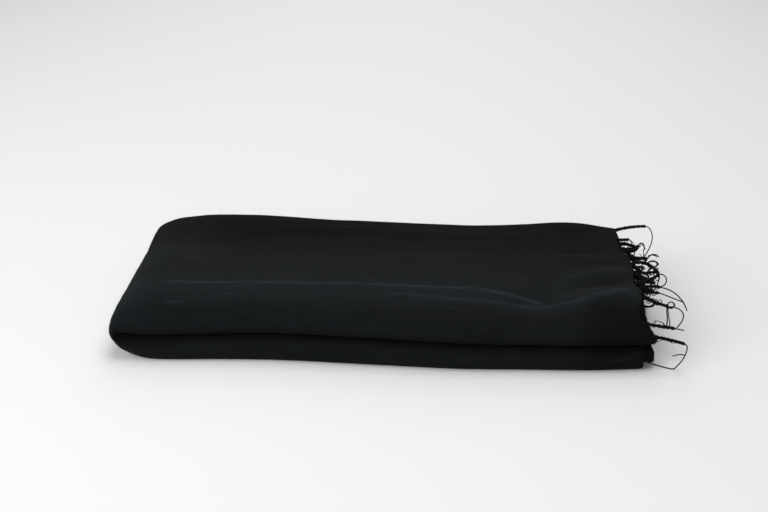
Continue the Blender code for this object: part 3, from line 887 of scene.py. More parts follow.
def layered_edge(line, outer, along, side):
    """The rounded edges of the layers that end at the back, from under the outer cloth's rim in."""
    last, first = line[-1], line[0]
    up, rim = last - first, outer[-1] - first
    up[1], rim[1] = 0, 0
    tall = np.linalg.norm(up)
    top = first + up / tall * (rim @ up / tall - SEAM)
    across = (first - top) / len(EDGE_LAYERS)
    across[1] = 0
    points = [np.array([top[0], last[1], top[2]])]
    for k, (set_back, long_wave, short_wave) in enumerate(EDGE_LAYERS):
        sway = math.sin(along * long_wave + EDGE_PHASE * k + side)
        sway += SHORT_WAVE_SHARE * math.sin(along * short_wave + k)
        edge = BACK - set_back - EDGE_SWAY * (0.5 + 0.5 * sway / (1 + SHORT_WAVE_SHARE))
        for n in range(EDGE_STEPS + 1):
            a = math.pi * n / EDGE_STEPS
            if k == 0 and n == 0:
                continue
            share = k + 0.5 - EDGE_HALF * math.cos(a)
            place = top + across * share
            place[1] = edge - NOTCH * (1 - math.sin(a) ** 0.5)
            points.append(place)
    return np.array(points)


# %% The layers inside
hidden_ends = (RIGHT - HIDDEN_END, LOWER_END - HIDDEN_END)
lines, hidden_sides = layer_path(CLOTH + LAYER_CLEAR, *hidden_ends, COARSE)
rims, _ = layer_path(0.0, *hidden_ends, COARSE)
hidden_rings = []
for k, (line, rim, side) in enumerate(zip(lines, rims, hidden_sides)):
    edge = layered_edge(line, rim, k * UPPER_STEP, side)
    hidden_rings.append(np.concatenate([line, edge]))
hidden_grid = np.array(hidden_rings)
rows, ring = hidden_grid.shape[:2]
faces = tube_faces(rows, ring).tolist()
faces.append(tuple(range(ring))[::-1])
faces.append(tuple(range((rows - 1) * ring, rows * ring)))
uv = np.stack([lengths_along(hidden_grid, axis).ravel() for axis in (1, 0)], axis=1)
layers = make_mesh("shawl_layers", hidden_grid.reshape(-1, 3), faces, uv)
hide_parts("hidden_layers")
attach(layers, "root")
print("shawl_layers", len(layers.data.polygons), "faces")

# %% [markdown]
# ## The ends at the right
#
# The lower half ends in two rounded folds, one inside the other. The outer cloth already turns
# round the first, and the inner one is a sheet of its own that comes out further. In the upper half
# the layers end in their fringed edges: each is a sheet too, and its strands grow out of its rim.

# %% Inner end fold
INNER_DEPTH = 0.0062
INNER_FROM = 0.2360
INNER_SAG = 0.0004


def inner_face(in_from_face):
    """One face of the inner end fold: 0 for its outer face, the cloth's wall for its inner one."""
    first = lower_station(INNER_FROM, INNER_DEPTH + in_from_face)
    turned = end_turn("inner", INNER_DEPTH, PAIR / 2 - in_from_face)
    last = lower_station(INNER_FROM, INNER_DEPTH + PAIR - in_from_face)
    return np.array([first, *turned, last])


turn_out, turn_in = inner_face(0.0), inner_face(CLOTH)
u, v = lengths_along(turn_out, 1), lengths_along(turn_out, 0)
sag = outward(turn_out) * (INNER_SAG * ripple(u, v, 3))[..., None]
end_fold = sheet_mesh("shawl_end_fold", turn_out + sag, turn_in + sag, u, v)
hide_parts("end_fold_inner")
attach(end_fold, "root")
print("shawl_end_fold", len(end_fold.data.polygons), "faces")

# %% Fringed edges of the inner layers
FRINGE_LAYERS = (
    # name, depth under the outer face, width of the fringed strip
    ("outer", 0.0, FRINGE_WIDTH),
    ("second", 0.0044, 0.0034),
    ("third", 0.0086, 0.0032),
    ("inner", 0.0124, 0.0030),
)
STRIP_FROM = RIGHT + SEAM - 0.0008
STRIP_SWAY = 0.0005
edges = {}
for name, depth, width in FRINGE_LAYERS[1:]:
    end = STRIP_FROM + width
    places = (end, end - 0.001, STRIP_FROM - 0.002, STRIP_FROM - 0.006)
    out = np.array([upper_station(x, depth) for x in places])
    into = np.array([upper_station(x, depth + CLOTH) for x in places])
    sway = STRIP_SWAY * ripple(lengths_along(out, 1), lengths_along(out, 0), 20 + len(edges))
    out[..., 0] += sway
    into[..., 0] += sway
    u, v = lengths_along(out, 1), lengths_along(out, 0)
    edges[name] = sheet_mesh(f"shawl_edge_{name}", out, into, u, v)
    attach(edges[name], "root")
print("edges", [(name, len(obj.data.polygons)) for name, obj in edges.items()])

# %% [markdown]
# ## The fringe
#
# Each strand is two plies of wool twisted round each other, and from many a knot a thin loose
# thread runs on in a loop. Curves with a bevel would give smooth cables, so each ply is laid as a
# spiral tube round the strand's middle line, a little uneven, with stray fibres standing out of it.
# The strands follow the routes that the solids use: a way out of the edge, a turn and a droop.

# %% Strand tables
STRAND_RADIUS = 0.0013
ROOT_INSIDE = 0.0022
TAIL_RADIUS = 0.0004
ROUTE_STEP = 0.0005
FLOOR_CLEAR = 0.0006
THREAD_BEND = 0.004
DRAWN_STRANDS = (
    # layer, share of the way round the fold, heading, turn, pitch, droop, length, then the
    # thread's length, heading, turn, pitch, droop
    ("outer", 0.949, -3, -6, 18, 14, 0.0330, 0.0420, -13, 72, -40, 122),
    ("outer", 0.882, 12, 17, -5, 0, 0.0150, 0.0110, 30, 10, -48, 30),
    ("outer", 0.815, 20, 47, -20, -40, 0.0280, 0.0167, 67, -74, 12, 100),
    ("outer", 0.784, 13, 27, -11, 3, 0.0258, 0.0175, 71, -94, 66, 122),
    ("outer", 0.745, -4, -25, 24, 77, 0.0318, 0.0130, -21, 104, -80, 66),
    ("outer", 0.640, 14, 35, 8, 0, 0.0310, 0.0240, 8, -32, 11, 188),
    ("outer", 0.608, 26, -24, 16, 29, 0.0218, 0.0370, 20, -70, -12, 52),
    ("outer", 0.585, -11, 31, -29, -9, 0.0298, 0.0400, -10, -151, 13, 57),
    ("outer", 0.507, -10, 12, -10, 0, 0.0265, 0.0090, 0, -8, -5, 10),
    ("outer", 0.4795, -5, 5, -6, 12, 0.0313, 0.0600, 0, -45, -88, 94),
    ("outer", 0.200, 4, 8, -22, 50, 0.0160, 0.0, 0, 0, 0, 0),
    ("outer", 0.100, -5, -10, -24, 46, 0.0150, 0.0, 0, 0, 0, 0),
    ("second", 0.731, -36, 70, -3, -8, 0.0270, 0.0, 0, 0, 0, 0),
    ("second", 0.613, 28, -14, -2, 12, 0.0218, 0.0300, -28, -34, -12, -20),
)
SCATTERED_STRANDS = (
    # layer, how many, heading, turn, pitch, droop and length, each from and to
    ("second", 16, (-40, 40), (-90, 90), (-8, 2), (-6, 20), (0.017, 0.025)),
    ("third", 14, (-40, 40), (-90, 90), (-14, -2), (-4, 24), (0.016, 0.024)),
    ("inner", 12, (-34, 34), (-70, 70), (-18, -8), (4, 34), (0.015, 0.021)),
)
# They stand closer towards the top of the fold, a little unevenly.
SHARE_LEAN = 0.6
SHARE_SCATTER = 0.7
# Those of the lower arms and of the back hang down, and are shorter. None leave the rolled front.
HANG_SHARE = 0.46
HANG_BEHIND = 0.080
HANG_PITCH = -16
HANG_DROOP = 40
HANG_LENGTH = 0.75
TOP_FRONT = -0.062
ARM_FRONT = 0.010
STRANDS_APART = 0.0009
END_ZONE_PAST = 0.0150
END_DROP = 0.0042
LAYER_STEP = 0.0002
TRIES = 14


# %% Strand routes
def strand_route(root, heading, turn, pitch, droop, length, thread, thread_heading=0, thread_turn=0,
                 thread_pitch=0, thread_droop=0):
    """The middle line of a strand and its thread, from inside the edge to the thread's tip."""
    place, along = np.array(root, dtype=float), -ROOT_INSIDE
    points = []
    while along <= length + thread + 1e-9:
        share = min(1.0, max(0.0, along) / length)
        plan, up = heading + turn * share, pitch - droop * share
        radius = STRAND_RADIUS
        if along > length:
            past = along - length
            bent = float(ease(past / THREAD_BEND))
            plan += (thread_heading + thread_turn * past / thread - plan) * bent
            up += (thread_pitch - thread_droop * past / thread - up) * bent
            radius = TAIL_RADIUS
        plan, up = math.radians(plan), math.radians(up)
        aim = np.array([math.cos(up) * math.cos(plan), math.cos(up) * math.sin(plan), math.sin(up)])
        if not points:
            place = place - aim * ROOT_INSIDE
        lowest = radius + FLOOR_CLEAR
        points.append(np.array([place[0], place[1], max(place[2], lowest)]))
        place = place + aim * ROUTE_STEP
        place[2] = max(place[2], lowest)
        along += ROUTE_STEP
    return np.array(points)


def place_on(line, share):
    """The point a share of the way along a line."""
    lengths = np.linalg.norm(np.diff(line, axis=0), axis=1)
    marks = np.concatenate([[0], np.cumsum(lengths)])
    return np.array([np.interp(share * marks[-1], marks, line[:, k]) for k in range(3)])


def is_clear(route, root, others):
    """True where a strand keeps clear of the other strands and of the cloth's ends below it."""
    if np.any((route[:, 0] < RIGHT + END_ZONE_PAST) & (route[:, 2] < root[2] - END_DROP)):
        return False
    for other in others:
        apart = np.linalg.norm(route[:, None, :] - other[None, :, :], axis=2)
        if apart.min() < 2 * STRAND_RADIUS + STRANDS_APART:
            return False
    return True


# %% Strands drawn and scattered
PLAIN = Steps(arm=3, corner=4, roll=6, top=9, lobe=3, tuck=2)
strands = {name: [] for name, _, _ in FRINGE_LAYERS}
shares = {name: [] for name, _, _ in FRINGE_LAYERS}
middles, others = {}, []
for layer, (name, depth, width) in enumerate(FRINGE_LAYERS):
    start = STRIP_FROM + LAYER_STEP * layer if layer else RIGHT + SEAM
    middles[name] = upper_station(start + width, depth + CLOTH / 2, PLAIN)
for name, share, *shape in DRAWN_STRANDS:
    route = strand_route(place_on(middles[name], share), *shape)
    strands[name].append((route, shape[4], shape[5]))
    shares[name].append(share)
    others.append(route)
for layer, (name, count, *ranges) in enumerate(SCATTERED_STRANDS, 1):
    dice = random.Random(11 * layer)
    for k in range(count):
        for _ in range(TRIES):
            share = ((k + 0.5 + SHARE_SCATTER * (dice.random() - 0.5)) / count) ** SHARE_LEAN
            heading, turn, pitch, droop, length = (a + (b - a) * dice.random() for a, b in ranges)
            root = place_on(middles[name], share)
            if root[1] < (ARM_FRONT if share < HANG_SHARE else TOP_FRONT):
                continue
            if share < HANG_SHARE or root[1] > HANG_BEHIND:
                pitch, droop, length = HANG_PITCH, HANG_DROOP + droop, HANG_LENGTH * length
            route = strand_route(root, heading, turn, pitch, droop, length, 0.0)
            if is_clear(route, root, others):
                strands[name].append((route, length, 0.0))
                shares[name].append(share)
                others.append(route)
                break
print("strands", {name: len(found) for name, found in strands.items()})


# %% Sizes of plies and fibres
PLY_OFFSET = 0.00090
PLY_RADIUS = 0.00102
PLY_PITCH = 0.0072
PLY_SIDES = 7
THREAD_RADIUS = 0.00060
THREAD_SIDES = 5
KNOT_SIZE = 0.22
KNOT_LENGTH = 0.0011
SETTLE_FROM = 0.0045
SETTLE_DROP = 0.0005
FUZZ_PER_STRAND = 150
FUZZ_WIDTH = 0.00008
FUZZ_REACH = (0.0008, 0.0030)
SLUB = 0.14
THREAD_EASE = 9
TABLE_CLEAR = 0.0001
UV_TURN = 0.0005
# A blade's points: how far along it its middle is, how much of its bend and width that takes.
BLADE_MIDDLE, BLADE_BEND, BLADE_TAPER = 0.55, 0.35, 0.8
BLADE_POINTS = 5


# %% Tubes and fibres
class Bundle:
    """Collects many small tubes and fibres, and makes one mesh of them."""

    def __init__(self):
        self.points = []
        self.faces = []
        self.uvs = []
        self.count = 0

    def tube(self, line, radii, sides):
        """A closed tube along a line, whose radius changes along it."""
        line, radii = np.asarray(line), np.asarray(radii)
        _, side, other = frames_along(line)
        a = 2 * math.pi * np.arange(sides) / sides
        side, other = side[:, None, :], other[:, None, :]
        ring = np.cos(a)[None, :, None] * side + np.sin(a)[None, :, None] * other
        points = line[:, None, :] + ring * radii[:, None, None]
        points[..., 2] = np.maximum(points[..., 2], TABLE_CLEAR)
        rows = len(line)
        faces = (tube_faces(rows, sides) + self.count).tolist()
        faces.append(tuple(self.count + k for k in range(sides))[::-1])
        faces.append(tuple(self.count + (rows - 1) * sides + k for k in range(sides)))
        hops = np.linalg.norm(np.diff(line, axis=0), axis=1)
        along = np.concatenate([[0], np.cumsum(hops)])
        uv = np.stack(np.broadcast_arrays(a[None, :] * UV_TURN, along[:, None]), axis=2)
        self.points.append(points.reshape(-1, 3))
        self.uvs.append(uv.reshape(-1, 2))
        self.faces += faces
        self.count += rows * sides

    def fibres(self, roots, ways, bends, widths, across, uv):
        """Thin curved blades: a quad and a tip each."""
        half = across * widths[:, None] / 2
        middle = roots + ways * BLADE_MIDDLE + bends * BLADE_BEND
        narrow = half * BLADE_TAPER
        tip = roots + ways + bends
        corners = [roots - half, roots + half, middle + narrow, middle - narrow, tip]
        points = np.stack(corners, axis=1).reshape(-1, 3)
        points[:, 2] = np.maximum(points[:, 2], TABLE_CLEAR)
        first = self.count + BLADE_POINTS * np.arange(len(roots))
        quads = np.stack([first, first + 1, first + 2, first + 3], axis=1).tolist()
        tips = np.stack([first + 3, first + 2, first + 4], axis=1).tolist()
        self.points.append(points)
        self.uvs.append(np.repeat(uv, BLADE_POINTS, axis=0))
        self.faces += quads + tips
        self.count += len(points)

    def mesh(self, name, tone=None):
        points, uv = np.concatenate(self.points), np.concatenate(self.uvs)
        return make_mesh(name, points, self.faces, uv, tone)


def frames_along(line):
    """A line's direction and two directions across it, which don't turn about it."""
    aim = np.gradient(line, axis=0)
    aim = aim / np.maximum(np.linalg.norm(aim, axis=1, keepdims=True), 1e-9)
    side = np.array([0.0, 0.0, 1.0])
    if abs(aim[0, 2]) > 0.95:
        side = np.array([1.0, 0.0, 0.0])
    sides = []
    for way in aim:
        side = side - way * (side @ way)
        side = side / np.linalg.norm(side)
        sides.append(side)
    sides = np.array(sides)
    return aim, sides, np.cross(aim, sides)


def eased(line):
    """A line with its sharp turns rounded, and its ends kept."""
    before = 2 * line[:1] - line[THREAD_EASE:0:-1]
    after = 2 * line[-1:] - line[-2:-THREAD_EASE - 2:-1]
    padded = np.concatenate([before, line, after])
    weights = np.hanning(2 * THREAD_EASE + 3)[1:-1]
    weights = weights / weights.sum()
    return np.stack([np.convolve(padded[:, k], weights, "valid") for k in range(3)], axis=1)


# %% One strand
SETTLE_ZONE = 0.002
STRAND_TAPER = 0.18
PLY_END = 0.55
FUZZ_OUT = 0.55
FUZZ_SCALE = 0.3
FUZZ_LEAN = 1.3
FUZZ_BEND = 0.35
FUZZ_FLOOR = 0.0004
FUZZ_CLEAR = 0.0002
THREAD_START = 0.002
THREAD_UNEVEN = 0.18
THREAD_TIP = (0.8, 0.6, 0.3)


def add_strand(bundle, route, length, tail, dice):
    """Two plies round each other as far as the knot, stray fibres, and the thin thread past it."""
    route = route.copy()
    route[:, 2] -= SETTLE_DROP * ease((SETTLE_FROM - route[:, 2]) / SETTLE_ZONE)
    along = -ROOT_INSIDE + ROUTE_STEP * np.arange(len(route))
    thick = along <= length + 1e-9
    line, marks = route[thick], along[thick]
    aim, side, other = frames_along(line)
    wander = 0.5 * np.sin(marks * dice.uniform(300, 500) + dice.uniform(0, 6))
    turn = 2 * math.pi * marks / PLY_PITCH + wander + dice.uniform(0, 6)
    knot = 1 + KNOT_SIZE * np.exp(-(((marks - length + KNOT_LENGTH) / KNOT_LENGTH) ** 2))
    thinning = 1 - STRAND_TAPER * ease((marks - 0.3 * length) / length)
    for ply in range(2):
        phase = turn + math.pi * ply
        out = side * np.cos(phase)[:, None] + other * np.sin(phase)[:, None]
        slubs = np.sin(marks * dice.uniform(700, 1200) + dice.uniform(0, 6))
        slubs = slubs + np.sin(marks * dice.uniform(1500, 2400) + dice.uniform(0, 6))
        size = PLY_RADIUS * (1 + SLUB * slubs) * knot * thinning
        size[-1] *= PLY_END
        bundle.tube(line + out * PLY_OFFSET * thinning[:, None], size, PLY_SIDES)
    picks = dice.integers(4, len(line) - 1, FUZZ_PER_STRAND)
    around = dice.uniform(0, 2 * math.pi, FUZZ_PER_STRAND)
    out = side[picks] * np.cos(around)[:, None] + other[picks] * np.sin(around)[:, None]
    reach = dice.uniform(*FUZZ_REACH, FUZZ_PER_STRAND)[:, None]
    lean = dice.normal(0, FUZZ_LEAN, FUZZ_PER_STRAND)[:, None]
    roots = line[picks] + out * (PLY_OFFSET + PLY_RADIUS * 0.5)
    ways = (out * FUZZ_OUT + aim[picks] * lean) / np.sqrt(FUZZ_SCALE + lean**2) * reach
    bends = dice.normal(0, FUZZ_BEND, (FUZZ_PER_STRAND, 3)) * reach
    roots[:, 2] = np.maximum(roots[:, 2], FUZZ_FLOOR)
    ways[:, 2] -= np.minimum(0.0, roots[:, 2] + ways[:, 2] + bends[:, 2] - FUZZ_CLEAR)
    widths = np.full(FUZZ_PER_STRAND, FUZZ_WIDTH)
    uv = np.stack([around * UV_TURN, marks[picks]], axis=1)
    bundle.fibres(roots, ways, bends, widths, aim[picks], uv)
    if tail > 0:
        thread = eased(route[np.argmax(along > length - THREAD_START):])
        wave = np.sin(np.arange(len(thread)) * 0.9 + dice.uniform(0, 6))
        sizes = THREAD_RADIUS * (1 + THREAD_UNEVEN * wave)
        sizes[-3:] *= THREAD_TIP
        bundle.tube(thread, sizes, THREAD_SIDES)


# %% [markdown]
# ## Loose yarn
#
# Where the strands leave the edge, the warp yarns gather into them like a small fan, and cut ends
# stand out between. Yarn that has slipped out of its twist makes curls and rings beside them. All
# could be scattered, but the rings at the rim show against the white table. So those are drawn,
# each as a place, a size and the part of a turn that it makes, and the rest are scattered.

# %% Listed rings and threads
LOOSE_YARN = 1.3
LOOPS = (
    # x, y, z, half width, half height, start and end in degrees, lean away, yarn radius
    (0.2714, 0.009, 0.0520, 0.0050, 0.0034, 0, 360, 0.3, 0.00070),
    (0.2681, -0.011, 0.0500, 0.0048, 0.0058, 20, 375, 0.2, 0.00075),
    (0.2763, -0.0752, 0.0440, 0.0031, 0.0031, 0, 380, 0.4, 0.00050),
    (0.2555, -0.0715, 0.0440, 0.0062, 0.0036, 170, 400, 0.3, 0.00085),
    (0.2536, -0.046, 0.0500, 0.0028, 0.0018, 0, 360, 0.5, 0.00050),
    (0.2556, -0.064, 0.0490, 0.0024, 0.0024, 0, 330, 0.5, 0.00045),
    (0.2530, -0.015, 0.0500, 0.0022, 0.0018, 0, 360, 0.5, 0.00050),
    (0.2595, 0.003, 0.0500, 0.0028, 0.0020, 0, 340, 0.5, 0.00050),
    (0.2624, 0.023, 0.0500, 0.0038, 0.0022, 0, 360, 0.5, 0.00050),
    (0.2745, 0.032, 0.0510, 0.0046, 0.0022, 10, 170, 0.3, 0.00042),
    (0.2670, 0.057, 0.0530, 0.0028, 0.0036, -60, 200, 0.5, 0.00038),
)
HANGING = (
    # yarn radius, and points from its fastened end to its loose end
    (0.00048, ((0.2722, -0.077, 0.0440), (0.2720, -0.0772, 0.039),
                (0.2731, -0.0776, 0.032), (0.2730, -0.0776, 0.0236))),
    (0.00038, ((0.2728, -0.077, 0.0440), (0.2734, -0.0776, 0.038),
                (0.2750, -0.0778, 0.031), (0.2762, -0.0778, 0.0240))),
    (0.00040, ((0.2827, -0.1246, 0.0160), (0.2795, -0.1250, 0.0172),
                (0.2760, -0.1254, 0.0170), (0.2712, -0.1256, 0.0158))),
    (0.00036, ((0.2556, -0.1236, 0.0350), (0.2541, -0.1252, 0.0328),
                (0.2520, -0.1258, 0.0300), (0.2497, -0.1254, 0.0262))),
    (0.00040, ((0.2690, -0.006, 0.0550), (0.2694, -0.010, 0.0500), (0.2688, -0.016, 0.0450))),
    (0.00034, ((0.2662, 0.040, 0.0556), (0.2655, 0.034, 0.0530), (0.2660, 0.028, 0.0500))),
)


# %% Fans and cut ends
FAN_YARNS = 8
FAN_HALF = 0.0062
FAN_REACH = (0.0040, 0.0080)
FAN_RADIUS = 0.00036
FAN_STEPS_OUT = 7
FAN_INSIDE = 0.0012
FAN_SAG = 0.0006
FAN_SCATTER = 0.0005
EDGE_YARN_GAP = 0.0016
EDGE_YARN_RADIUS = 0.00017
EDGE_YARN_REACH = (0.0020, 0.0058)
EDGE_YARN_STEPS = 8
EDGE_YARN_INSIDE = 0.0008
EDGE_YARN_FLOOR = 0.0008
EDGE_YARN_OUT = 0.0003


def length_of(line):
    return np.linalg.norm(np.diff(line, axis=0), axis=1).sum()


def add_fan(bundle, middle, share, route, dice):
    """Thin yarns that leave the edge on both sides of a strand and gather into it."""
    long = length_of(middle)
    for k in range(FAN_YARNS):
        aside = FAN_HALF * ((k + dice.uniform(0.1, 0.9)) / FAN_YARNS * 2 - 1)
        start = place_on(middle, min(0.995, max(0.005, share + aside / long)))
        reach = dice.uniform(*FAN_REACH)
        end = route[min(len(route) - 1, round((ROOT_INSIDE + reach) / ROUTE_STEP))]
        start[0] -= FAN_INSIDE
        bend = start + np.array([reach * 0.5, 0.0, -FAN_SAG + dice.normal(0, FAN_SAG)])
        end = end + dice.normal(0, FAN_SCATTER, 3)
        t = np.linspace(0, 1, FAN_STEPS_OUT)[:, None]
        line = (1 - t) ** 2 * start + 2 * t * (1 - t) * bend + t**2 * end
        bundle.tube(line, FAN_RADIUS * np.linspace(1.1, 0.8, FAN_STEPS_OUT), 4)


def add_edge_yarns(bundle, middle, dice):
    """Short cut ends all along the woven edge."""
    for share in np.arange(0.004, 0.996, EDGE_YARN_GAP / length_of(middle)):
        start = place_on(middle, share)
        start[0] -= EDGE_YARN_INSIDE
        reach = dice.uniform(*EDGE_YARN_REACH)
        plan, up = dice.normal(0, 0.7), dice.normal(-0.25, 0.35)
        plan_turn, up_turn = dice.normal(0, 1.6), dice.normal(-0.8, 0.9)
        t = np.linspace(0, 1, EDGE_YARN_STEPS)
        plan, up = plan + plan_turn * t, up + up_turn * t
        aims = np.stack([np.cos(plan) * np.cos(up), np.sin(plan) * np.cos(up), np.sin(up)], axis=1)
        hops = np.concatenate([np.zeros((1, 3)), np.cumsum(aims[1:], axis=0)])
        line = start + hops * reach / (EDGE_YARN_STEPS - 1)
        line[:, 0] = np.maximum(line[:, 0], start[0] + EDGE_YARN_OUT * t)
        line[:, 2] = np.maximum(line[:, 2], EDGE_YARN_FLOOR)
        bundle.tube(line, EDGE_YARN_RADIUS * np.linspace(1.1, 0.45, EDGE_YARN_STEPS), 3)


# %% Curls and rings
CURLS_PER_STRAND = {"outer": 1, "second": 3, "third": 3, "inner": 2}
CURL_RADIUS = (0.0014, 0.0036)
CURL_YARN = (0.00030, 0.00055)
CURL_FROM = 0.0052
CURL_FLOOR = 0.0012
CURL_TOP = 0.0600
CURL_STEPS = 22
CURL_BACK = 0.098
LOOP_STEPS = 30
LOOP_DRIFT = 0.0006
HANGING_STEPS = 18


def add_curl(bundle, route, length, dice):
    """A thin loose yarn that leaves a strand, makes a loop beside it and ends."""
    top = round((ROOT_INSIDE + length) / ROUTE_STEP)
    pick = int(dice.uniform(0.25, 1.0) * top)
    aim, side, other = frames_along(route[: top + 1])
    around = dice.uniform(0, 2 * math.pi)
    out = side[pick] * math.cos(around) + other[pick] * math.sin(around)
    radius, turns = dice.uniform(*CURL_RADIUS), dice.uniform(0.55, 1.25)
    a = np.linspace(0, 2 * math.pi * turns, CURL_STEPS)[:, None]
    drift = np.cross(aim[pick], out) * dice.normal(0, 0.35)
    size = radius * (1 + 0.25 * np.sin(a * 0.5 + dice.uniform(0, 6)))
    turned = size * (np.sin(a) * aim[pick] + (1 - np.cos(a)) * out)
    line = route[pick] + turned + radius * drift * a / 2
    line[:, 0] = np.maximum(line[:, 0], RIGHT + CURL_FROM)
    line[:, 2] = np.clip(line[:, 2], CURL_FLOOR, CURL_TOP)
    bundle.tube(line, dice.uniform(*CURL_YARN) * np.linspace(1.1, 0.7, CURL_STEPS), 4)


def add_loop(bundle, x, y, z, half_width, half_height, start, end, lean, radius):
    """A loop of loose yarn that faces the front."""
    a = np.radians(np.linspace(start, end, LOOP_STEPS))
    line = np.stack([
        x + half_width * np.cos(a),
        y + lean * half_height * np.sin(a) + LOOP_DRIFT * a,
        z + half_height * np.sin(a) * math.cos(lean * 0.4),
    ], axis=1)
    bundle.tube(line, LOOSE_YARN * radius * (1 + 0.12 * np.sin(a * 5.3 + x * 900)), 5)


def through(points, count):
    """Close places on a smooth curve through a few points."""
    rows = [(k, *point) for k, point in enumerate(points)]
    t = np.linspace(0, len(points) - 1, count)
    return np.stack([smooth(rows, k, t) for k in (1, 2, 3)], axis=1)


# %% Strands of each layer
fringes = {}
for layer, (name, _, _) in enumerate(FRINGE_LAYERS):
    bundle = Bundle()
    dice = np.random.default_rng(40 + layer)
    for (route, length, tail), share in zip(strands[name], shares[name]):
        add_strand(bundle, route, length, tail, dice)
        add_fan(bundle, middles[name], share, route, dice)
        if route[4, 1] < CURL_BACK:
            for _ in range(CURLS_PER_STRAND[name]):
                add_curl(bundle, route, length, dice)
    add_edge_yarns(bundle, middles[name], dice)
    if name == "outer":
        for row in LOOPS:
            add_loop(bundle, *row)
        for radius, points in HANGING:
            radii = np.full(HANGING_STEPS, LOOSE_YARN * radius)
            bundle.tube(through(points, HANGING_STEPS), radii, 5)
    fringes[name] = bundle.mesh(f"fringe_strands_{name}")
    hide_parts(f"fringe_{name}")
    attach(fringes[name], "root")
    print(fringes[name].name, len(fringes[name].data.polygons), "faces")

# %% [markdown]
# ## The nap
#
# Brushing pulls loose fibres out of the weave. They lie along the cloth, soften its outline and
# give it its dull bloom. Hair particles would draw them, but a model that is passed on as a mesh
# has no hair, so each is a thin bent blade of three triangles. They grow only where the cloth
# shows: none inside the crease and none on the underside.

# %% Nap
NAP_COUNT = 48000
EDGE_NAP_COUNT = 5000
NAP_LENGTH = (0.0014, 0.0040)
NAP_WIDTH = (0.00009, 0.00015)
NAP_RISE = (0.05, 0.62)
NAP_LEAN = 0.35
NAP_ROOT_IN = 0.0001
NAP_BENDS = (0.25, 0.15)
NAP_SHADE = (0.70, 1.30)
NAP_CLEAR = 0.0002
UNDERSIDE_FACES = -0.3
UNDERSIDE_TOP = 0.004


def spread_nap(bundle, grid, tone, shown, count, dice):
    """Fibres over the cells of a grid that show, as many to the area everywhere. Gives back their
    tones."""
    a, b, c, d = grid[:-1, :-1], grid[1:, :-1], grid[1:, 1:], grid[:-1, 1:]
    area = np.linalg.norm(np.cross(c - a, d - b), axis=2) / 2 * shown
    i, j = np.unravel_index(dice.choice(area.size, count, p=area.ravel() / area.sum()), area.shape)
    s, t = dice.random((2, count, 1))

    def at(field):
        flat = field.reshape(*grid.shape[:2], -1)
        near = flat[i, j] * (1 - t) + flat[i, j + 1] * t
        far = flat[i + 1, j] * (1 - t) + flat[i + 1, j + 1] * t
        return near * (1 - s) + far * s

    def unit(vectors):
        return vectors / np.maximum(np.linalg.norm(vectors, axis=1, keepdims=True), 1e-12)

    out = unit(at(outward(grid)))
    along = unit(at(np.gradient(grid, axis=0))) * dice.choice((-1.0, 1.0), (count, 1))
    aside = np.cross(out, along)
    lean, rise = dice.normal(0, NAP_LEAN, (count, 1)), dice.uniform(*NAP_RISE, (count, 1))
    reach = dice.uniform(*NAP_LENGTH, (count, 1))
    flat = along * np.cos(lean) + aside * np.sin(lean)
    ways = (flat * np.cos(rise) + out * np.sin(rise)) * reach
    swerve, lift = (dice.normal(0, spread, (count, 1)) for spread in NAP_BENDS)
    bends = (aside * swerve + out * lift) * reach
    roots = at(grid) - out * NAP_ROOT_IN
    roots[:, 2] = np.maximum(roots[:, 2], NAP_CLEAR)
    ways[:, 2] -= np.minimum(0.0, roots[:, 2] + ways[:, 2] + bends[:, 2] - NAP_CLEAR)
    places = np.concatenate([at(lengths_along(grid, 1)), at(lengths_along(grid, 0))], axis=1)
    widths = dice.uniform(*NAP_WIDTH, count)
    bundle.fibres(roots, ways, bends, widths, unit(np.cross(ways, out)), places)
    # Each fibre takes the painted light and shade of the cloth under it, times a random tone of its
    # own.
    return at(tone)[:, 0] * dice.uniform(*NAP_SHADE, count)


# %% Nap where the cloth shows
bundle, dice = Bundle(), np.random.default_rng(71)
faces_down = outward(outer_grid)[..., 2] < UNDERSIDE_FACES
shown = ~(faces_down & (outer_grid[..., 2] < UNDERSIDE_TOP))[:-1, :-1]
shown[:, : FINE.arm] = False
shown[-2:] = False
tones = [spread_nap(bundle, outer_grid, tone, shown, NAP_COUNT, dice)]
plain_tone = np.ones(hidden_grid.shape[:2])
shown = np.zeros(np.array(hidden_grid.shape[:2]) - 1, dtype=bool)
shown[:, len(lines[0]):] = True
tones.append(spread_nap(bundle, hidden_grid, plain_tone, shown, EDGE_NAP_COUNT, dice))
nap = bundle.mesh("shawl_nap", np.repeat(np.concatenate(tones), BLADE_POINTS))
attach(nap, "root")
print("shawl_nap", len(nap.data.polygons), "faces")

# %% [markdown]
# ## Brushed wool
#
# The cloth is a loose plain weave of black wool, brushed so that its fibres lie along it. Up close
# the weave shows through the nap, and from further away there are only faint streaks. All of it is
# driven by the UV map, which measures the cloth in metres, so the weave runs round the folds as
# threads do. Wool is close to black: its glow at glancing angles is the shader's sheen.

# %% Wool material
WEAVE_PITCH = 0.0021
WOOL_DARK = (0.0023, 0.0028, 0.0032, 1.0)
WOOL_LIGHT = (0.0068, 0.0080, 0.0090, 1.0)
WOOL_SHEEN = 0.015
WOOL_SHEEN_TINT = (0.84, 0.94, 1.0, 1.0)
WOOL_BUMP = 0.00045
WOOL_NOISES = {
    # waves to the metre round the bundle and along it, detail, roughness
    "streaks": ((420.0, 26.0, 1.0), 4.0, 0.62),
    "bands": ((70.0, 5.0, 1.0), 2.0, 0.5),
    "fuzz": ((2600.0, 1100.0, 1.0), 2.0, 0.7),
    "patches": ((34.0, 21.0, 1.0), 3.0, 0.6),
}


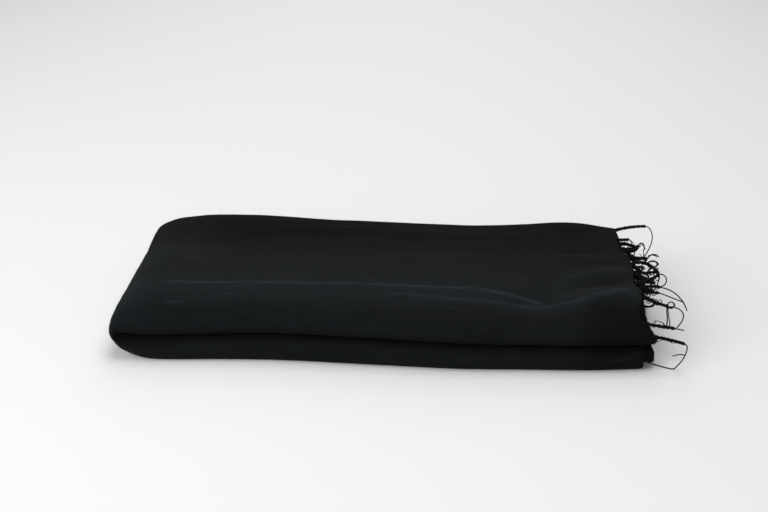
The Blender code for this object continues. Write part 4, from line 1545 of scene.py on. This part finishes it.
def noise(shader, place, stretch, detail, roughness):
    """A noise from 0 to 1, so many waves to the metre each way."""
    scaled = shader.node("ShaderNodeVectorMath", {"operation": "MULTIPLY"}, i0=place, i1=stretch)
    return shader.node(
        "ShaderNodeTexNoise", Vector=scaled, Scale=1.0, Detail=detail, Roughness=roughness
    )


def brushed_wool():
    """Black brushed wool cloth: streaks along it, fuzz, the weave under them, and the painted light
    and shade of each point's tone.
    """
    shader = Shader("brushed_wool")
    place = shader.node("ShaderNodeUVMap", {"uv_map": "cloth"})
    u, v, _ = shader.node("ShaderNodeSeparateXYZ", output=(0, 1, 2), Vector=place)
    wave = 2 * math.pi / WEAVE_PITCH
    weave = (u * wave).math("SINE") * (v * wave).math("SINE")
    streaks, bands, fuzz, patches = (noise(shader, place, *row) for row in WOOL_NOISES.values())
    bare = ((patches - 0.5) * 3.2 + 0.55).clipped()
    share = (streaks * 0.80 + bands * 0.30 + fuzz * 0.6 + weave * bare * 0.12 - 0.42).clipped()
    # The tone attribute is painted light and shade: it scales the wool's colour.
    tone = shader.node("ShaderNodeAttribute", {"attribute_name": "tone"}, output=2)
    fibre = shader.mix(share, WOOL_DARK, WOOL_LIGHT)
    colour = shader.node("ShaderNodeVectorMath", {"operation": "SCALE"}, Scale=tone, i0=fibre)
    height = weave * bare * 0.42 + fuzz * 1.1 + streaks * 0.8 + bands * 0.4
    normal = shader.node("ShaderNodeBump", Strength=0.9, Distance=WOOL_BUMP, Height=height)
    shader.set(
        Base_Color=colour,
        Roughness=0.94 - streaks * 0.10,
        Specular_IOR_Level=0.045,
        Sheen_Weight=WOOL_SHEEN,
        Sheen_Roughness=0.42,
        Sheen_Tint=WOOL_SHEEN_TINT,
        Normal=normal,
    )
    return shader.material


cloth_wool = brushed_wool()
for piece in (cloth, layers, end_fold, nap, *edges.values()):
    piece.data.materials.append(cloth_wool)
print(cloth_wool.name, len(cloth_wool.node_tree.nodes), "nodes")

# %% [markdown]
# ## Yarn
#
# The strands are the same wool, unbrushed and twisted hard, and look a little browner than the
# cloth. The cloth's material would put its weave on them. They get a plainer one, with fine fibres
# along each ply and slow patches along the strand.

# %% Yarn material
YARN_DARK = (0.0026, 0.0026, 0.0026, 1.0)
YARN_LIGHT = (0.0088, 0.0084, 0.0078, 1.0)
YARN_BUMP = 0.0002
YARN_NOISES = {
    "fibres": ((5200.0, 700.0, 1.0), 2.0, 0.6),
    "patches": ((60.0, 260.0, 1.0), 2.0, 0.5),
}


def twisted_yarn():
    """The strands' wool: fine fibres along each ply."""
    shader = Shader("fringe_wool")
    place = shader.node("ShaderNodeUVMap", {"uv_map": "cloth"})
    fibre, patches = (noise(shader, place, *row) for row in YARN_NOISES.values())
    share = (fibre * 0.8 + patches * 0.7 - 0.35).clipped()
    shader.set(
        Base_Color=shader.mix(share, YARN_DARK, YARN_LIGHT),
        Roughness=0.92 - fibre * 0.12,
        Specular_IOR_Level=0.05,
        Sheen_Weight=0.03,
        Sheen_Roughness=0.40,
        Normal=shader.node("ShaderNodeBump", Strength=0.7, Distance=YARN_BUMP, Height=fibre),
    )
    return shader.material


yarn = twisted_yarn()
for piece in fringes.values():
    piece.data.materials.append(yarn)
print(yarn.name, len(yarn.node_tree.nodes), "nodes")
